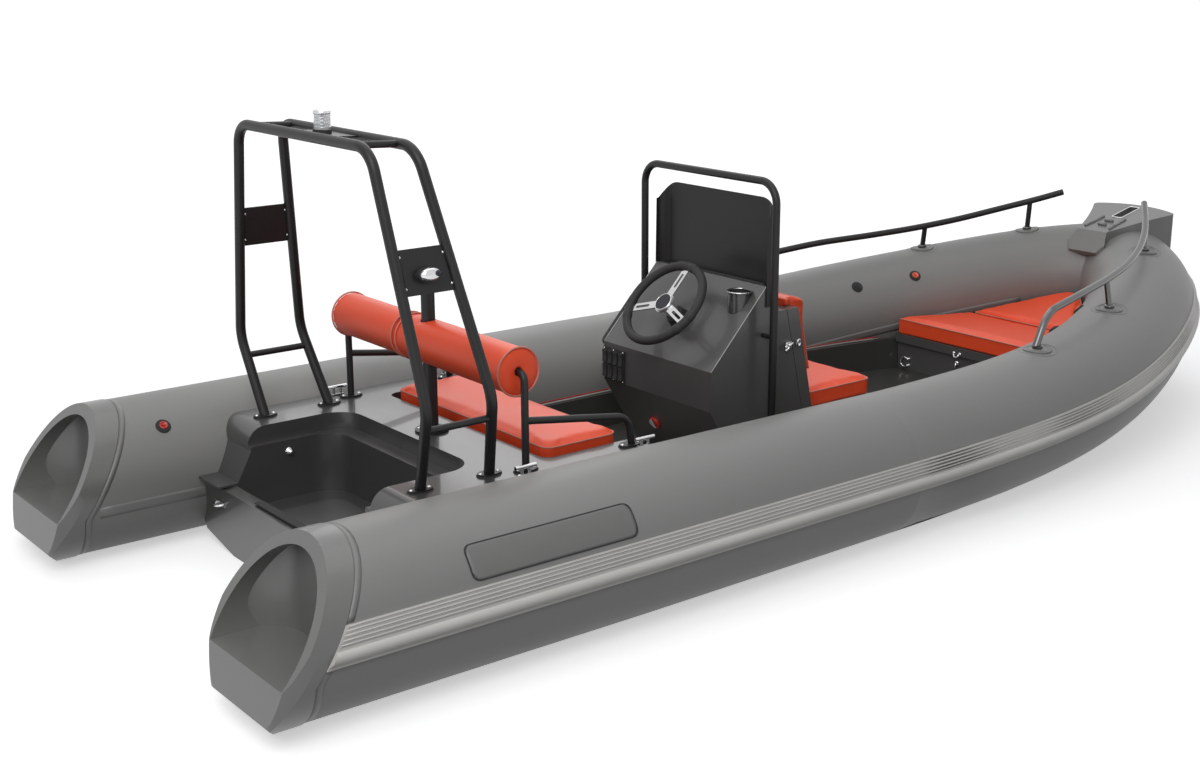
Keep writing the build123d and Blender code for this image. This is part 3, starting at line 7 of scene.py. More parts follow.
import logging
import math
from dataclasses import dataclass, field
from enum import Enum
from typing import Callable, Iterable, Sequence

import bmesh
import bpy
from mathutils import Matrix, Vector
from mathutils.bvhtree import BVHTree


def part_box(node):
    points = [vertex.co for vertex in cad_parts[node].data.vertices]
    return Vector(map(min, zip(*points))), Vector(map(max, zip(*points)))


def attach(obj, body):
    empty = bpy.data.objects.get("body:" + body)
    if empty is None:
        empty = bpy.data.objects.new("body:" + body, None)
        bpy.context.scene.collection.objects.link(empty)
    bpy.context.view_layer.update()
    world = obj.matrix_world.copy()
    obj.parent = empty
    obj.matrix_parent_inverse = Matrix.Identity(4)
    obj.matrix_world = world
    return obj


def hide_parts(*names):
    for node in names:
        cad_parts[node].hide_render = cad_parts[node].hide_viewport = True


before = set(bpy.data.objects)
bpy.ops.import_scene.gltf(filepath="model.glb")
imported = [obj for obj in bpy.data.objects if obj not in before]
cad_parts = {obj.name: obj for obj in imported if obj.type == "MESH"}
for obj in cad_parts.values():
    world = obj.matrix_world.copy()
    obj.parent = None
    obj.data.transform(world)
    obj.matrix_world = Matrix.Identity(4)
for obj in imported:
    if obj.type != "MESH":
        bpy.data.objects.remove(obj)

LOG = logging.getLogger("boat")
Point = tuple[float, float, float]
Colour = tuple[float, float, float]
UP = Vector((0, 0, 1))
AFT = Vector((-1, 0, 0))
PORT = Vector((0, 1, 0))
SIDES = (1, -1)


def linear(red: int, green: int, blue: int) -> Colour:
    """Turn a screen colour into the linear colour that a shader takes.

    Args:
        red: Red channel, 0 to 255.
        green: Green channel, 0 to 255.
        blue: Blue channel, 0 to 255.

    Returns:
        The three linear channels, 0 to 1.
    """

    def one(value: int) -> float:
        """Turn one channel."""
        share = value / 255
        return share / 12.92 if share <= 0.04045 else ((share + 0.055) / 1.055) ** 2.4

    return (one(red), one(green), one(blue))


class Grain(Enum):
    """Fine relief that a finish carries."""

    PLAIN = "plain"
    FABRIC = "fabric"
    VINYL = "vinyl"
    MOULDED = "moulded"
    GELCOAT = "gelcoat"
    BRUSHED = "brushed"
    POWDER = "powder"


def wire(tree: bpy.types.NodeTree, nodes: dict, *wires: str) -> None:
    """Link sockets of a tree.

    Args:
        tree: The tree.
        nodes: Its nodes by a short name.
        wires: Links, each written as from.socket > to.socket. A number is a socket's index.
    """
    for one in wires:
        (start, out), (end, into) = (side.strip().split(".") for side in one.split(">"))
        tree.links.new(nodes[start].outputs[int(out) if out.isdigit() else out],
                       nodes[end].inputs[int(into) if into.isdigit() else into])


def add_node(tree: bpy.types.NodeTree, kind: str, values: dict | None = None,
             **settings) -> bpy.types.Node:
    """Add a node to a tree.

    Args:
        tree: The tree.
        kind: Type of the node.
        values: Default values by the name or index of the input.
        settings: The node's own properties.

    Returns:
        The node.
    """
    node = tree.nodes.new(kind)
    for label, value in settings.items():
        setattr(node, label, value)
    for label, value in (values or {}).items():
        node.inputs[label].default_value = value
    return node


class NodeGroups:
    """Shader node groups that several finishes share."""

    RELIEF = ("Scale", "Strength", "Depth")

    def __init__(self) -> None:
        """Start with no group made."""
        self._made: dict[str, bpy.types.NodeTree] = {}

    def get(self, name: str) -> bpy.types.NodeTree:
        """Return a shared group, made on first use.

        Args:
            name: One of mottle, pebble, weave, streak.

        Returns:
            The node group.
        """
        makers = {"mottle": self._mottle, "pebble": self._pebble, "weave": self._weave,
                  "streak": self._streak}
        if name not in self._made:
            self._made[name] = makers[name]()
        return self._made[name]

    @staticmethod
    def _tree(name: str, inputs: Sequence[str],
              outputs: Sequence[str]) -> tuple[bpy.types.NodeTree, dict]:
        """Start a group with its sockets, its two ends and Object coordinates.

        Args:
            name: Name of the group.
            inputs: Names of its input sockets.
            outputs: Names of its output sockets.

        Returns:
            The tree, and its first nodes by name.
        """
        kinds = {"Colour": "NodeSocketColor", "Normal": "NodeSocketVector"}
        tree = bpy.data.node_groups.new(name, "ShaderNodeTree")
        for labels, way in ((inputs, "INPUT"), (outputs, "OUTPUT")):
            for label in labels:
                tree.interface.new_socket(label, in_out=way,
                                          socket_type=kinds.get(label, "NodeSocketFloat"))
        return tree, {"source": tree.nodes.new("NodeGroupInput"),
                      "sink": tree.nodes.new("NodeGroupOutput"),
                      "where": tree.nodes.new("ShaderNodeTexCoord")}

    def _relief(self, name: str, nodes_of: Callable, height: str,
                *wires: str) -> bpy.types.NodeTree:
        """Build a group that puts out a bumped normal from one height.

        Args:
            name: Name of the group.
            nodes_of: Maker of the group's own nodes, which takes the tree.
            height: Socket that gives the height, as node.socket.
            wires: Links between the nodes, as wire takes them.

        Returns:
            The group.
        """
        tree, nodes = self._tree(name, self.RELIEF, ("Normal",))
        nodes.update(nodes_of(tree), bump=add_node(tree, "ShaderNodeBump"))
        wire(tree, nodes, *wires, f"{height} > bump.Height", "source.Strength > bump.Strength",
             "source.Depth > bump.Distance", "bump.Normal > sink.Normal")
        return tree

    def _mottle(self) -> bpy.types.NodeTree:
        """Slow change of shade over a surface, with a little dust in it.

        Returns:
            The group.
        """
        tree, nodes = self._tree("mottle", ("Colour", "Scale", "Amount"), ("Colour", "Factor"))
        nodes.update(
            broad=add_node(tree, "ShaderNodeTexNoise", {"Detail": 6, "Roughness": 0.62}),
            span=add_node(tree, "ShaderNodeMapRange",
                          {"From Min": 0.25, "From Max": 0.75, "To Min": -1, "To Max": 1}),
            gain=add_node(tree, "ShaderNodeMath", {2: 1}, operation="MULTIPLY_ADD"),
            shade=add_node(tree, "ShaderNodeVectorMath", operation="SCALE"))
        wire(tree, nodes, "where.Object > broad.Vector", "source.Scale > broad.Scale",
             "broad.Fac > span.Value", "span.Result > gain.0", "source.Amount > gain.1",
             "source.Colour > shade.0", "gain.Value > shade.Scale",
             "shade.Vector > sink.Colour", "broad.Fac > sink.Factor")
        return tree

    def _pebble(self) -> bpy.types.NodeTree:
        """Rounded grain of vinyl, moulded plastic or powder coat, as a bump.

        Returns:
            The group.
        """
        return self._relief(
            "pebble", lambda tree: {
                "cells": add_node(tree, "ShaderNodeTexVoronoi", feature="SMOOTH_F1",
                                  values={"Smoothness": 0.55}),
                "fine": add_node(tree, "ShaderNodeTexNoise", {"Detail": 4}),
                "both": add_node(tree, "ShaderNodeMath", operation="MULTIPLY")},
            "both.Value", "where.Object > cells.Vector", "source.Scale > cells.Scale",
            "where.Object > fine.Vector", "source.Scale > fine.Scale",
            "cells.Distance > both.0", "fine.Fac > both.1")

    def _weave(self) -> bpy.types.NodeTree:
        """Base cloth that shows faintly through a coated fabric, as a bump.

        Returns:
            The group.
        """
        threads = {"Distortion": 0.6, "Detail": 1}
        return self._relief(
            "weave", lambda tree: {
                "warp": add_node(tree, "ShaderNodeTexWave", threads, bands_direction="X"),
                "weft": add_node(tree, "ShaderNodeTexWave", threads, bands_direction="Z"),
                "total": add_node(tree, "ShaderNodeMath"),
                "slack": add_node(tree, "ShaderNodeTexNoise", {"Scale": 9, "Detail": 2}),
                "mix": add_node(tree, "ShaderNodeMath", {1: 0.12}, operation="MULTIPLY_ADD")},
            "mix.Value", "where.Object > warp.Vector", "source.Scale > warp.Scale",
            "where.Object > weft.Vector", "source.Scale > weft.Scale", "warp.Fac > total.0",
            "weft.Fac > total.1", "where.Object > slack.Vector", "total.Value > mix.0",
            "slack.Fac > mix.2")

    def _streak(self) -> bpy.types.NodeTree:
        """Fine polishing lines of worked metal, as a bump.

        Returns:
            The group.
        """
        return self._relief(
            "streak", lambda tree: {
                "stretch": add_node(tree, "ShaderNodeMapping", {"Scale": (0.08, 1, 1)}),
                "lines": add_node(tree, "ShaderNodeTexNoise", {"Detail": 3})},
            "lines.Fac", "where.Object > stretch.Vector", "stretch.Vector > lines.Vector",
            "source.Scale > lines.Scale")


GROUPS = NodeGroups()
GRAIN_GROUP = {
    Grain.FABRIC: "weave",
    Grain.VINYL: "pebble",
    Grain.MOULDED: "pebble",
    Grain.GELCOAT: "pebble",
    Grain.POWDER: "pebble",
    Grain.BRUSHED: "streak",
}


@dataclass(frozen=True)
class Finish:
    """One surface finish and how its shader is made."""

    name: str
    slot: str
    colour: Colour
    roughness: float
    metallic: float = 0.0
    coat: float = 0.0
    coat_roughness: float = 0.08
    sheen: float = 0.0
    specular: float = 0.5
    transmission: float = 0.0
    alpha: float = 1.0
    mottle: float = 0.06
    mottle_scale: float = 3.0
    grain: Grain = Grain.PLAIN
    grain_scale: float = 400.0
    grain_strength: float = 0.2
    grain_depth: float = 0.0006
    rough_spread: float = 0.06

    def material(self) -> bpy.types.Material:
        """Make the material on first use.

        Returns:
            The material, shared by every piece with this finish.
        """
        found = bpy.data.materials.get(self.name)
        if found:
            return found
        made = bpy.data.materials.new(self.name)
        made.use_nodes = True
        tree = made.node_tree
        nodes = {
            "shader": tree.nodes["Principled BSDF"],
            "mottle": add_node(tree, "ShaderNodeGroup"),
            "spread": add_node(tree, "ShaderNodeMapRange",
                               {"To Min": max(self.roughness - self.rough_spread, 0.02),
                                "To Max": min(self.roughness + self.rough_spread, 1)})}
        for label, value in (("Metallic", self.metallic), ("Coat Weight", self.coat),
                             ("Coat Roughness", self.coat_roughness),
                             ("Sheen Weight", self.sheen), ("Specular IOR Level", self.specular),
                             ("Transmission Weight", self.transmission), ("Alpha", self.alpha)):
            nodes["shader"].inputs[label].default_value = value
        self._fill(nodes["mottle"], "mottle", Colour=(*self.colour, 1), Scale=self.mottle_scale,
                   Amount=self.mottle)
        wire(tree, nodes, "mottle.Colour > shader.Base Color", "mottle.Factor > spread.Value",
             "spread.Result > shader.Roughness")
        if self.grain is not Grain.PLAIN:
            nodes["relief"] = add_node(tree, "ShaderNodeGroup")
            self._fill(nodes["relief"], GRAIN_GROUP[self.grain], Scale=self.grain_scale,
                       Strength=self.grain_strength, Depth=self.grain_depth)
            wire(tree, nodes, "relief.Normal > shader.Normal")
        made.diffuse_color = (*self.colour, 1)
        return made

    @staticmethod
    def _fill(node: bpy.types.Node, group: str, **values) -> None:
        """Put a shared group in a node and set the group's inputs.

        Args:
            node: The group node.
            group: Name of the shared group.
            values: Values by the name of the input.
        """
        node.node_tree = GROUPS.get(group)
        for label, value in values.items():
            node.inputs[label].default_value = value


class Finishes:
    """Every finish on the boat."""

    TUBE = Finish("tube_fabric", "tube_grey", linear(132, 132, 130), 0.48, coat=0.08, sheen=0.05,
                  mottle=0.035, mottle_scale=1.6, grain=Grain.FABRIC, grain_scale=120,
                  grain_strength=0.09, grain_depth=0.0012, coat_roughness=0.35)
    TAPE = Finish("seam_tape", "tube_grey", linear(124, 124, 122), 0.42, coat=0.12, mottle=0.05,
                  grain=Grain.FABRIC, grain_scale=120, grain_strength=0.08, coat_roughness=0.3)
    STRAKE = Finish("rub_strake", "strake_grey", linear(206, 204, 200), 0.44, coat=0.1,
                    mottle=0.05, mottle_scale=6, grain=Grain.BRUSHED, grain_scale=160,
                    grain_strength=0.14, coat_roughness=0.3)
    CAP = Finish("end_cap", "cap_grey", linear(116, 116, 114), 0.34, coat=0.25, mottle=0.05,
                 grain=Grain.MOULDED, grain_scale=700, grain_strength=0.1, coat_roughness=0.2)
    HULL = Finish("hull_gelcoat", "hull_dark", linear(62, 63, 60), 0.32, coat=0.3, mottle=0.04,
                  grain=Grain.GELCOAT, grain_scale=26, grain_strength=0.02, grain_depth=0.003,
                  coat_roughness=0.06)
    DECK = Finish("deck_gelcoat", "deck_black", linear(66, 66, 65), 0.36, coat=0.35, mottle=0.035,
                  grain=Grain.GELCOAT, grain_scale=22, grain_strength=0.02, grain_depth=0.003,
                  coat_roughness=0.06)
    # Painted light: a lighter copy of the deck's black gelcoat, brightened to stand in for the
    # light that the console, seat module, locker and bow deck faces lack.
    DECK_PAINTED_LIGHT = Finish("deck_gelcoat_painted_light", "deck_black", linear(84, 84, 83), 0.34, coat=0.3, mottle=0.035,
                   grain=Grain.GELCOAT, grain_scale=22, grain_strength=0.02, grain_depth=0.003,
                   coat_roughness=0.1)
    VINYL = Finish("cushion_vinyl", "cushion", linear(252, 84, 42), 0.44, coat=0.04,
                   mottle=0.035, mottle_scale=5, grain=Grain.VINYL, grain_scale=620,
                   grain_strength=0.16, grain_depth=0.0005, coat_roughness=0.4)
    PIPING = Finish("cushion_piping", "cushion", linear(212, 132, 116), 0.5, mottle=0.05,
                    grain=Grain.VINYL, grain_scale=900, grain_strength=0.12)
    POWDER = Finish("powder_coat", "black_tube", linear(27, 27, 28), 0.42, mottle=0.08,
                    mottle_scale=8, grain=Grain.POWDER, grain_scale=1400, grain_strength=0.12,
                    specular=0.35)
    STEEL = Finish("polished_steel", "bright_steel", (0.62, 0.62, 0.63), 0.12, metallic=1.0,
                   mottle=0.05, mottle_scale=30, grain=Grain.BRUSHED, grain_scale=900,
                   grain_strength=0.05, grain_depth=0.0002, rough_spread=0.04)
    RAIL_STEEL = Finish("rail_steel", "bright_steel", (0.13, 0.13, 0.13), 0.22, metallic=1.0,
                        mottle=0.08, mottle_scale=12, grain=Grain.BRUSHED, grain_scale=700,
                        grain_strength=0.07, grain_depth=0.0002, rough_spread=0.05)
    SCREEN = Finish("smoked_acrylic", "smoked_glass", linear(30, 30, 30), 0.38, mottle=0.03,
                    alpha=0.97, rough_spread=0.02, specular=0.3)
    SOFT = Finish("soft_black", "soft_black", linear(34, 34, 35), 0.5, mottle=0.08,
                  mottle_scale=12, grain=Grain.MOULDED, grain_scale=900, grain_strength=0.16)
    RUBBER = Finish("patch_rubber", "patch_rubber", linear(47, 47, 47), 0.62, mottle=0.08,
                    mottle_scale=14, grain=Grain.MOULDED, grain_scale=600, grain_strength=0.2)
    BADGE = Finish("blank_patch", "patch_rubber", linear(116, 116, 114), 0.5, mottle=0.04,
                   mottle_scale=10, grain=Grain.MOULDED, grain_scale=500, grain_strength=0.12)
    CUP = Finish("cup_plastic", "bright_steel", linear(64, 64, 64), 0.12, coat=0.3, mottle=0.05,
                 mottle_scale=20)
    RED = Finish("red_plastic", "red_plastic", linear(214, 38, 30), 0.25, coat=0.4, mottle=0.05,
                 mottle_scale=30)
    ORANGE = Finish("orange_plastic", "red_plastic", linear(232, 90, 48), 0.3, coat=0.3,
                    mottle=0.05, mottle_scale=30)
    WHITE = Finish("white_plastic", "red_plastic", linear(232, 232, 230), 0.3, coat=0.3,
                   mottle=0.03, mottle_scale=30)
    LENS = Finish("clear_lens", "clear_lens", linear(232, 238, 240), 0.08, transmission=0.75,
                  alpha=0.55, mottle=0.03, mottle_scale=30, rough_spread=0.03)
    DARK_LENS = Finish("dark_lens", "clear_lens", linear(20, 20, 38), 0.16, mottle=0.05,
                       mottle_scale=20, rough_spread=0.02, specular=0.4)
    GROOVE = Finish("groove_shadow", "strake_grey", linear(96, 95, 93), 0.6, mottle=0.05)


NODE_FINISH: dict[str, Finish] = {node: finish for finish, nodes in (
    (Finishes.TUBE, "tube_port tube_starboard rail_patches"),
    (Finishes.STRAKE, "rub_strake_port rub_strake_starboard"),
    (Finishes.CAP, "end_cap_port end_cap_starboard nose_step"),
    (Finishes.HULL, "hull_bottom transom"),
    (Finishes.DECK, "aft_deck"),
    # Painted light: these black gelcoat parts take the deck gelcoat's lighter copy.
    (Finishes.DECK_PAINTED_LIGHT, "console_body seat_module bow_locker_wall bow_lid bow_deck"),
    (Finishes.POWDER, "arch_hoop_aft arch_hoop_fore arch_bars arch_plates arch_roof tow_post "
                      "backrest_frame screen_guard grab_rail bow_rail_port"),
    (Finishes.RAIL_STEEL, "bow_rail_starboard"),
    (Finishes.STEEL, "module_hinges module_knuckles wheel_spokes console_latch module_keeper "
                     "stern_eyes cleats"),
    (Finishes.SCREEN, "windscreen"),
    (Finishes.SOFT, "wheel_rim steering_column switch_panel mast_light_base side_lights"),
    (Finishes.DARK_LENS, "wheel_cap"),
    (Finishes.LENS, "mast_light_lens"),
    (Finishes.CUP, "cup_holder"),
    (Finishes.RED, "battery_switch"),
    (Finishes.RUBBER, "valves transom_pad"),
) for node in nodes.split()}


@dataclass(frozen=True)
class TubePath:
    """Centreline and radius of the air tubes, as the CAD model draws them."""

    axis_z: float = 0.280
    axis_y: float = 0.857
    stern_r: float = 0.274
    bow_r: float = 0.249
    taper_x: float = -0.952
    rise_x: float = 0.246
    rise_end_x: float = 2.750
    rise: float = math.tan(math.radians(10.26))
    plan_x: float = 1.015
    plan_r: float = 3.030
    plan_turn: float = math.radians(31.17)
    bow_arc_r: float = 1.078
    bow_turn: float = math.radians(62.2)

    def tip_x(self) -> float:
        """Return where the two centrelines meet."""
        sine = math.sin(self.plan_turn)
        return self.plan_x + self.plan_r * sine + self.bow_arc_r * (math.sin(self.bow_turn) - sine)

    def heading(self, x: float) -> float:
        """Return the angle of the port centreline towards the middle.

        Args:
            x: Distance forward.

        Returns:
            The angle in radians.
        """
        end = self.plan_x + self.plan_r * math.sin(self.plan_turn)
        if x <= self.plan_x:
            return 0.0
        if x <= end:
            return math.asin((x - self.plan_x) / self.plan_r)
        sine = math.sin(self.plan_turn) + (x - end) / self.bow_arc_r
        return math.asin(min(sine, math.sin(self.bow_turn)))

    def centre(self, x: float) -> Vector:
        """Return the port centreline's point at a distance forward.

        Args:
            x: Distance forward.

        Returns:
            The point.
        """
        angle = self.heading(x)
        if angle <= self.plan_turn:
            y = self.axis_y - self.plan_r * (1 - math.cos(angle))
        else:
            y = self.axis_y - self.plan_r * (1 - math.cos(self.plan_turn))
            y -= self.bow_arc_r * (math.cos(self.plan_turn) - math.cos(angle))
        span = self.rise_end_x - self.rise_x
        curved = min(max(x - self.rise_x, 0.0), span)
        z = self.axis_z + self.rise * curved ** 2 / (2 * span)
        z += self.rise * max(x - self.rise_end_x, 0.0)
        return Vector((x, y, z))

    def radius(self, x: float) -> float:
        """Return the tube's radius at a distance forward."""
        share = max(x - self.taper_x, 0.0) / (self.tip_x() - self.taper_x)
        return self.stern_r + (self.bow_r - self.stern_r) * share

    def axes(self, x: float) -> tuple[Vector, Vector, Vector]:
        """Return the along, outboard and up directions of the port tube at x.

        Args:
            x: Distance forward.

        Returns:
            The three directions.
        """
        turn = self.heading(x)
        span = self.rise_end_x - self.rise_x
        slope = self.rise * min(max(x - self.rise_x, 0.0), span) / span
        along = Vector((math.cos(turn), -math.sin(turn), slope * math.cos(turn))).normalized()
        out = Vector((math.sin(turn), math.cos(turn), 0.0))
        return along, out, along.cross(out)

    def point(self, x: float, degrees: float, proud: float = 0.0, side: int = 1) -> Vector:
        """Return a point on the tube's skin.

        Args:
            x: Distance forward of the tube's section.
            degrees: Angle above the outboard direction; 180 is inboard.
            proud: Height above the skin.
            side: 1 for port, -1 for starboard.

        Returns:
            The point in the boat's frame.
        """
        _, out, up = self.axes(x)
        angle = math.radians(degrees)
        where = self.centre(x) + (out * math.cos(angle) + up * math.sin(angle)) * (
            self.radius(x) + proud)
        where.y *= side
        return where

    @staticmethod
    def joint_x(height: float) -> float:
        """Return where the slanted joint between a tube and its cap lies at a height.

        Args:
            height: Height above the waterline.

        Returns:
            The distance forward.
        """
        shelf_x, shelf_z, lean = -2.248, 0.205, 0.643
        if height >= shelf_z:
            return shelf_x + (height - shelf_z) * lean
        return shelf_x + (shelf_z - height) * 0.049

    def stern_x(self, degrees: float) -> float:
        """Return where the joint meets the tube's skin at an angle."""
        return self.joint_x(self.axis_z + self.stern_r * math.sin(math.radians(degrees)))

    def angle_at(self, x: float, height: float) -> float:
        """Return the inboard angle, in degrees, at which the skin has a height."""
        rise = (height - self.centre(x).z) / self.radius(x)
        return 180.0 - math.degrees(math.asin(max(min(rise, 1.0), -1.0)))


TUBES = TubePath()


def steps(start: float, end: float, count: int) -> list[float]:
    """Return count evenly spaced values from start to end."""
    return [start + (end - start) * i / (count - 1) for i in range(count)]


def ellipse(centre: Vector, across: Vector, up: Vector, count: int) -> list[Vector]:
    """Return points round an ellipse whose half axes are the two vectors."""
    return [centre + across * math.cos(a) + up * math.sin(a)
            for a in steps(0, 2 * math.pi, count + 1)[:-1]]


class Shapes:
    """Mesh makers. from_mesh and place return an object at the origin with its place in its mesh;
    the others add to a bmesh.
    """

    @staticmethod
    def from_mesh(name: str, mesh: bmesh.types.BMesh, finish: Finish, body: str,
                  smooth: bool = True) -> bpy.types.Object:
        """Turn a bmesh into a piece that rides on a body.

        Args:
            name: Name of the piece.
            mesh: Its geometry, which is freed.
            finish: Its surface finish.
            body: CAD body it moves with.
            smooth: Whether its faces are shaded smooth.

        Returns:
            The new object.
        """
        bmesh.ops.recalc_face_normals(mesh, faces=mesh.faces)
        data = bpy.data.meshes.new(name)
        mesh.to_mesh(data)
        mesh.free()
        return Shapes.place(name, data, finish, body, smooth)

    @staticmethod
    def place(name: str, data: bpy.types.Mesh, finish: Finish, body: str,
              smooth: bool = True) -> bpy.types.Object:
        """Link a mesh as a piece that rides on a body.

        Args:
            name: Name of the piece.
            data: Its mesh.
            finish: Its surface finish.
            body: CAD body it moves with.
            smooth: Whether its faces are shaded smooth.

        Returns:
            The piece.
        """
        piece = bpy.data.objects.new(name, data)
        bpy.context.scene.collection.objects.link(piece)
        data.materials.clear()
        data.materials.append(finish.material())
        data.polygons.foreach_set("use_smooth", [smooth] * len(data.polygons))
        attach(piece, body)
        return piece

    @staticmethod
    def loft(mesh: bmesh.types.BMesh, rings: Sequence[Sequence[Vector]], closed: bool = False,
             capped: bool = True, ring_closed: bool = True) -> None:
        """Skin a row of rings that have equal counts of points.

        Args:
            mesh: Mesh to add to.
            rings: Points of each ring.
            closed: Whether the last ring joins the first.
            capped: Whether the two ends are filled.
            ring_closed: Whether each ring is a loop.
        """
        made = [[mesh.verts.new(p) for p in ring] for ring in rings]
        count = len(made[0])
        last = len(made) if closed else len(made) - 1
        for i in range(last):
            a, b = made[i], made[(i + 1) % len(made)]
            for j in range(count if ring_closed else count - 1):
                k = (j + 1) % count
                mesh.faces.new((a[j], a[k], b[k], b[j]))
        if capped and not closed and ring_closed:
            mesh.faces.new(list(reversed(made[0])))
            mesh.faces.new(made[-1])

    @staticmethod
    def rod(mesh: bmesh.types.BMesh, path: Sequence[Vector], radius: float, sides: int = 10,
            closed: bool = False, flat: float = 1.0) -> None:
        """Add a round bar along a path.

        Args:
            mesh: Mesh to add to.
            path: Points of its centreline.
            radius: Radius of the bar.
            sides: Points round it.
            closed: Whether the path is a loop.
            flat: Height of the section as a share of its width.
        """
        count = len(path)
        rings = []
        side = None
        for i, here in enumerate(path):
            if closed:
                ahead, behind = path[(i + 1) % count], path[i - 1]
            else:
                ahead, behind = path[min(i + 1, count - 1)], path[max(i - 1, 0)]
            along = (ahead - behind).normalized()
            if side is None:
                steep = abs(along.z) >= 0.9
                side = (along.orthogonal() if steep else along.cross(UP)).normalized()
            side = (side - along * side.dot(along)).normalized()
            up = along.cross(side)
            rings.append(ellipse(here, side * radius, up * (radius * flat), sides))
        Shapes.loft(mesh, rings, closed=closed)

    @staticmethod
    def turned(mesh: bmesh.types.BMesh, origin: Vector, axis: Vector,
               profile: Sequence[tuple[float, float]], sides: int = 24,
               ring: bool = False) -> None:
        """Add a turned form.

        Args:
            mesh: Mesh to add to.
            origin: Foot of its axis.
            axis: Direction of its axis.
            profile: Radius and height of each ring, from the foot up.
            sides: Points round it.
            ring: Whether the profile closes on itself, round an open middle.
        """
        up = axis.normalized()
        side = up.orthogonal().normalized()
        other = up.cross(side)
        rings = [ellipse(origin + up * height, side * max(radius, 1e-5),
                         other * max(radius, 1e-5), sides) for radius, height in profile]
        Shapes.loft(mesh, rings, closed=ring)

    @staticmethod
    def strip(mesh: bmesh.types.BMesh, xs: Sequence[float], low: Callable[[float], float],
              high: Callable[[float], float], proud: float, side: int, base: float = -0.002,
              across: int = 4) -> None:
        """Add a band that lies on a tube's skin between two angles.

        Args:
            mesh: Mesh to add to.
            xs: Distances forward of its sections.
            low: Lower angle in degrees for each x.
            high: Upper angle in degrees for each x.
            proud: Height of its face above the skin.
            side: 1 for port, -1 for starboard.
            base: Height of its back face, under the skin.
            across: Points over its width.
        """
        rings = []
        for x in xs:
            angles = steps(low(x), high(x), across)
            top = [TUBES.point(x, a, proud if 0 < i < across - 1 else proud * 0.55, side)
                   for i, a in enumerate(angles)]
            under = [TUBES.point(x, a, base, side) for a in reversed(angles)]
            rings.append(top + under)
        Shapes.loft(mesh, rings)


def rounded(points: Sequence[tuple[float, float]], radius: float,
            count: int = 6) -> list[tuple[float, float]]:
    """Round the corners of a flat closed outline.

    Args:
        points: Its corners.
        radius: Corner radius.
        count: Points on each corner.

    Returns:
        The rounded outline.
    """
    out = []
    total = len(points)
    for i in range(total):
        here = Vector(points[i])
        before = Vector(points[i - 1]) - here
        after = Vector(points[(i + 1) % total]) - here
        reach = min(radius, before.length * 0.49, after.length * 0.49)
        a, b = before.normalized() * reach, after.normalized() * reach
        for j in range(count):
            t = j / (count - 1)
            spot = here + a * (1 - t) ** 2 + b * t ** 2
            out.append((spot.x, spot.y))
    return out


@dataclass
class Fastening:
    """One screw or bolt head: where it sits, which way it points and how big it is."""

    place: Vector
    axis: Vector
    size: float = 0.006


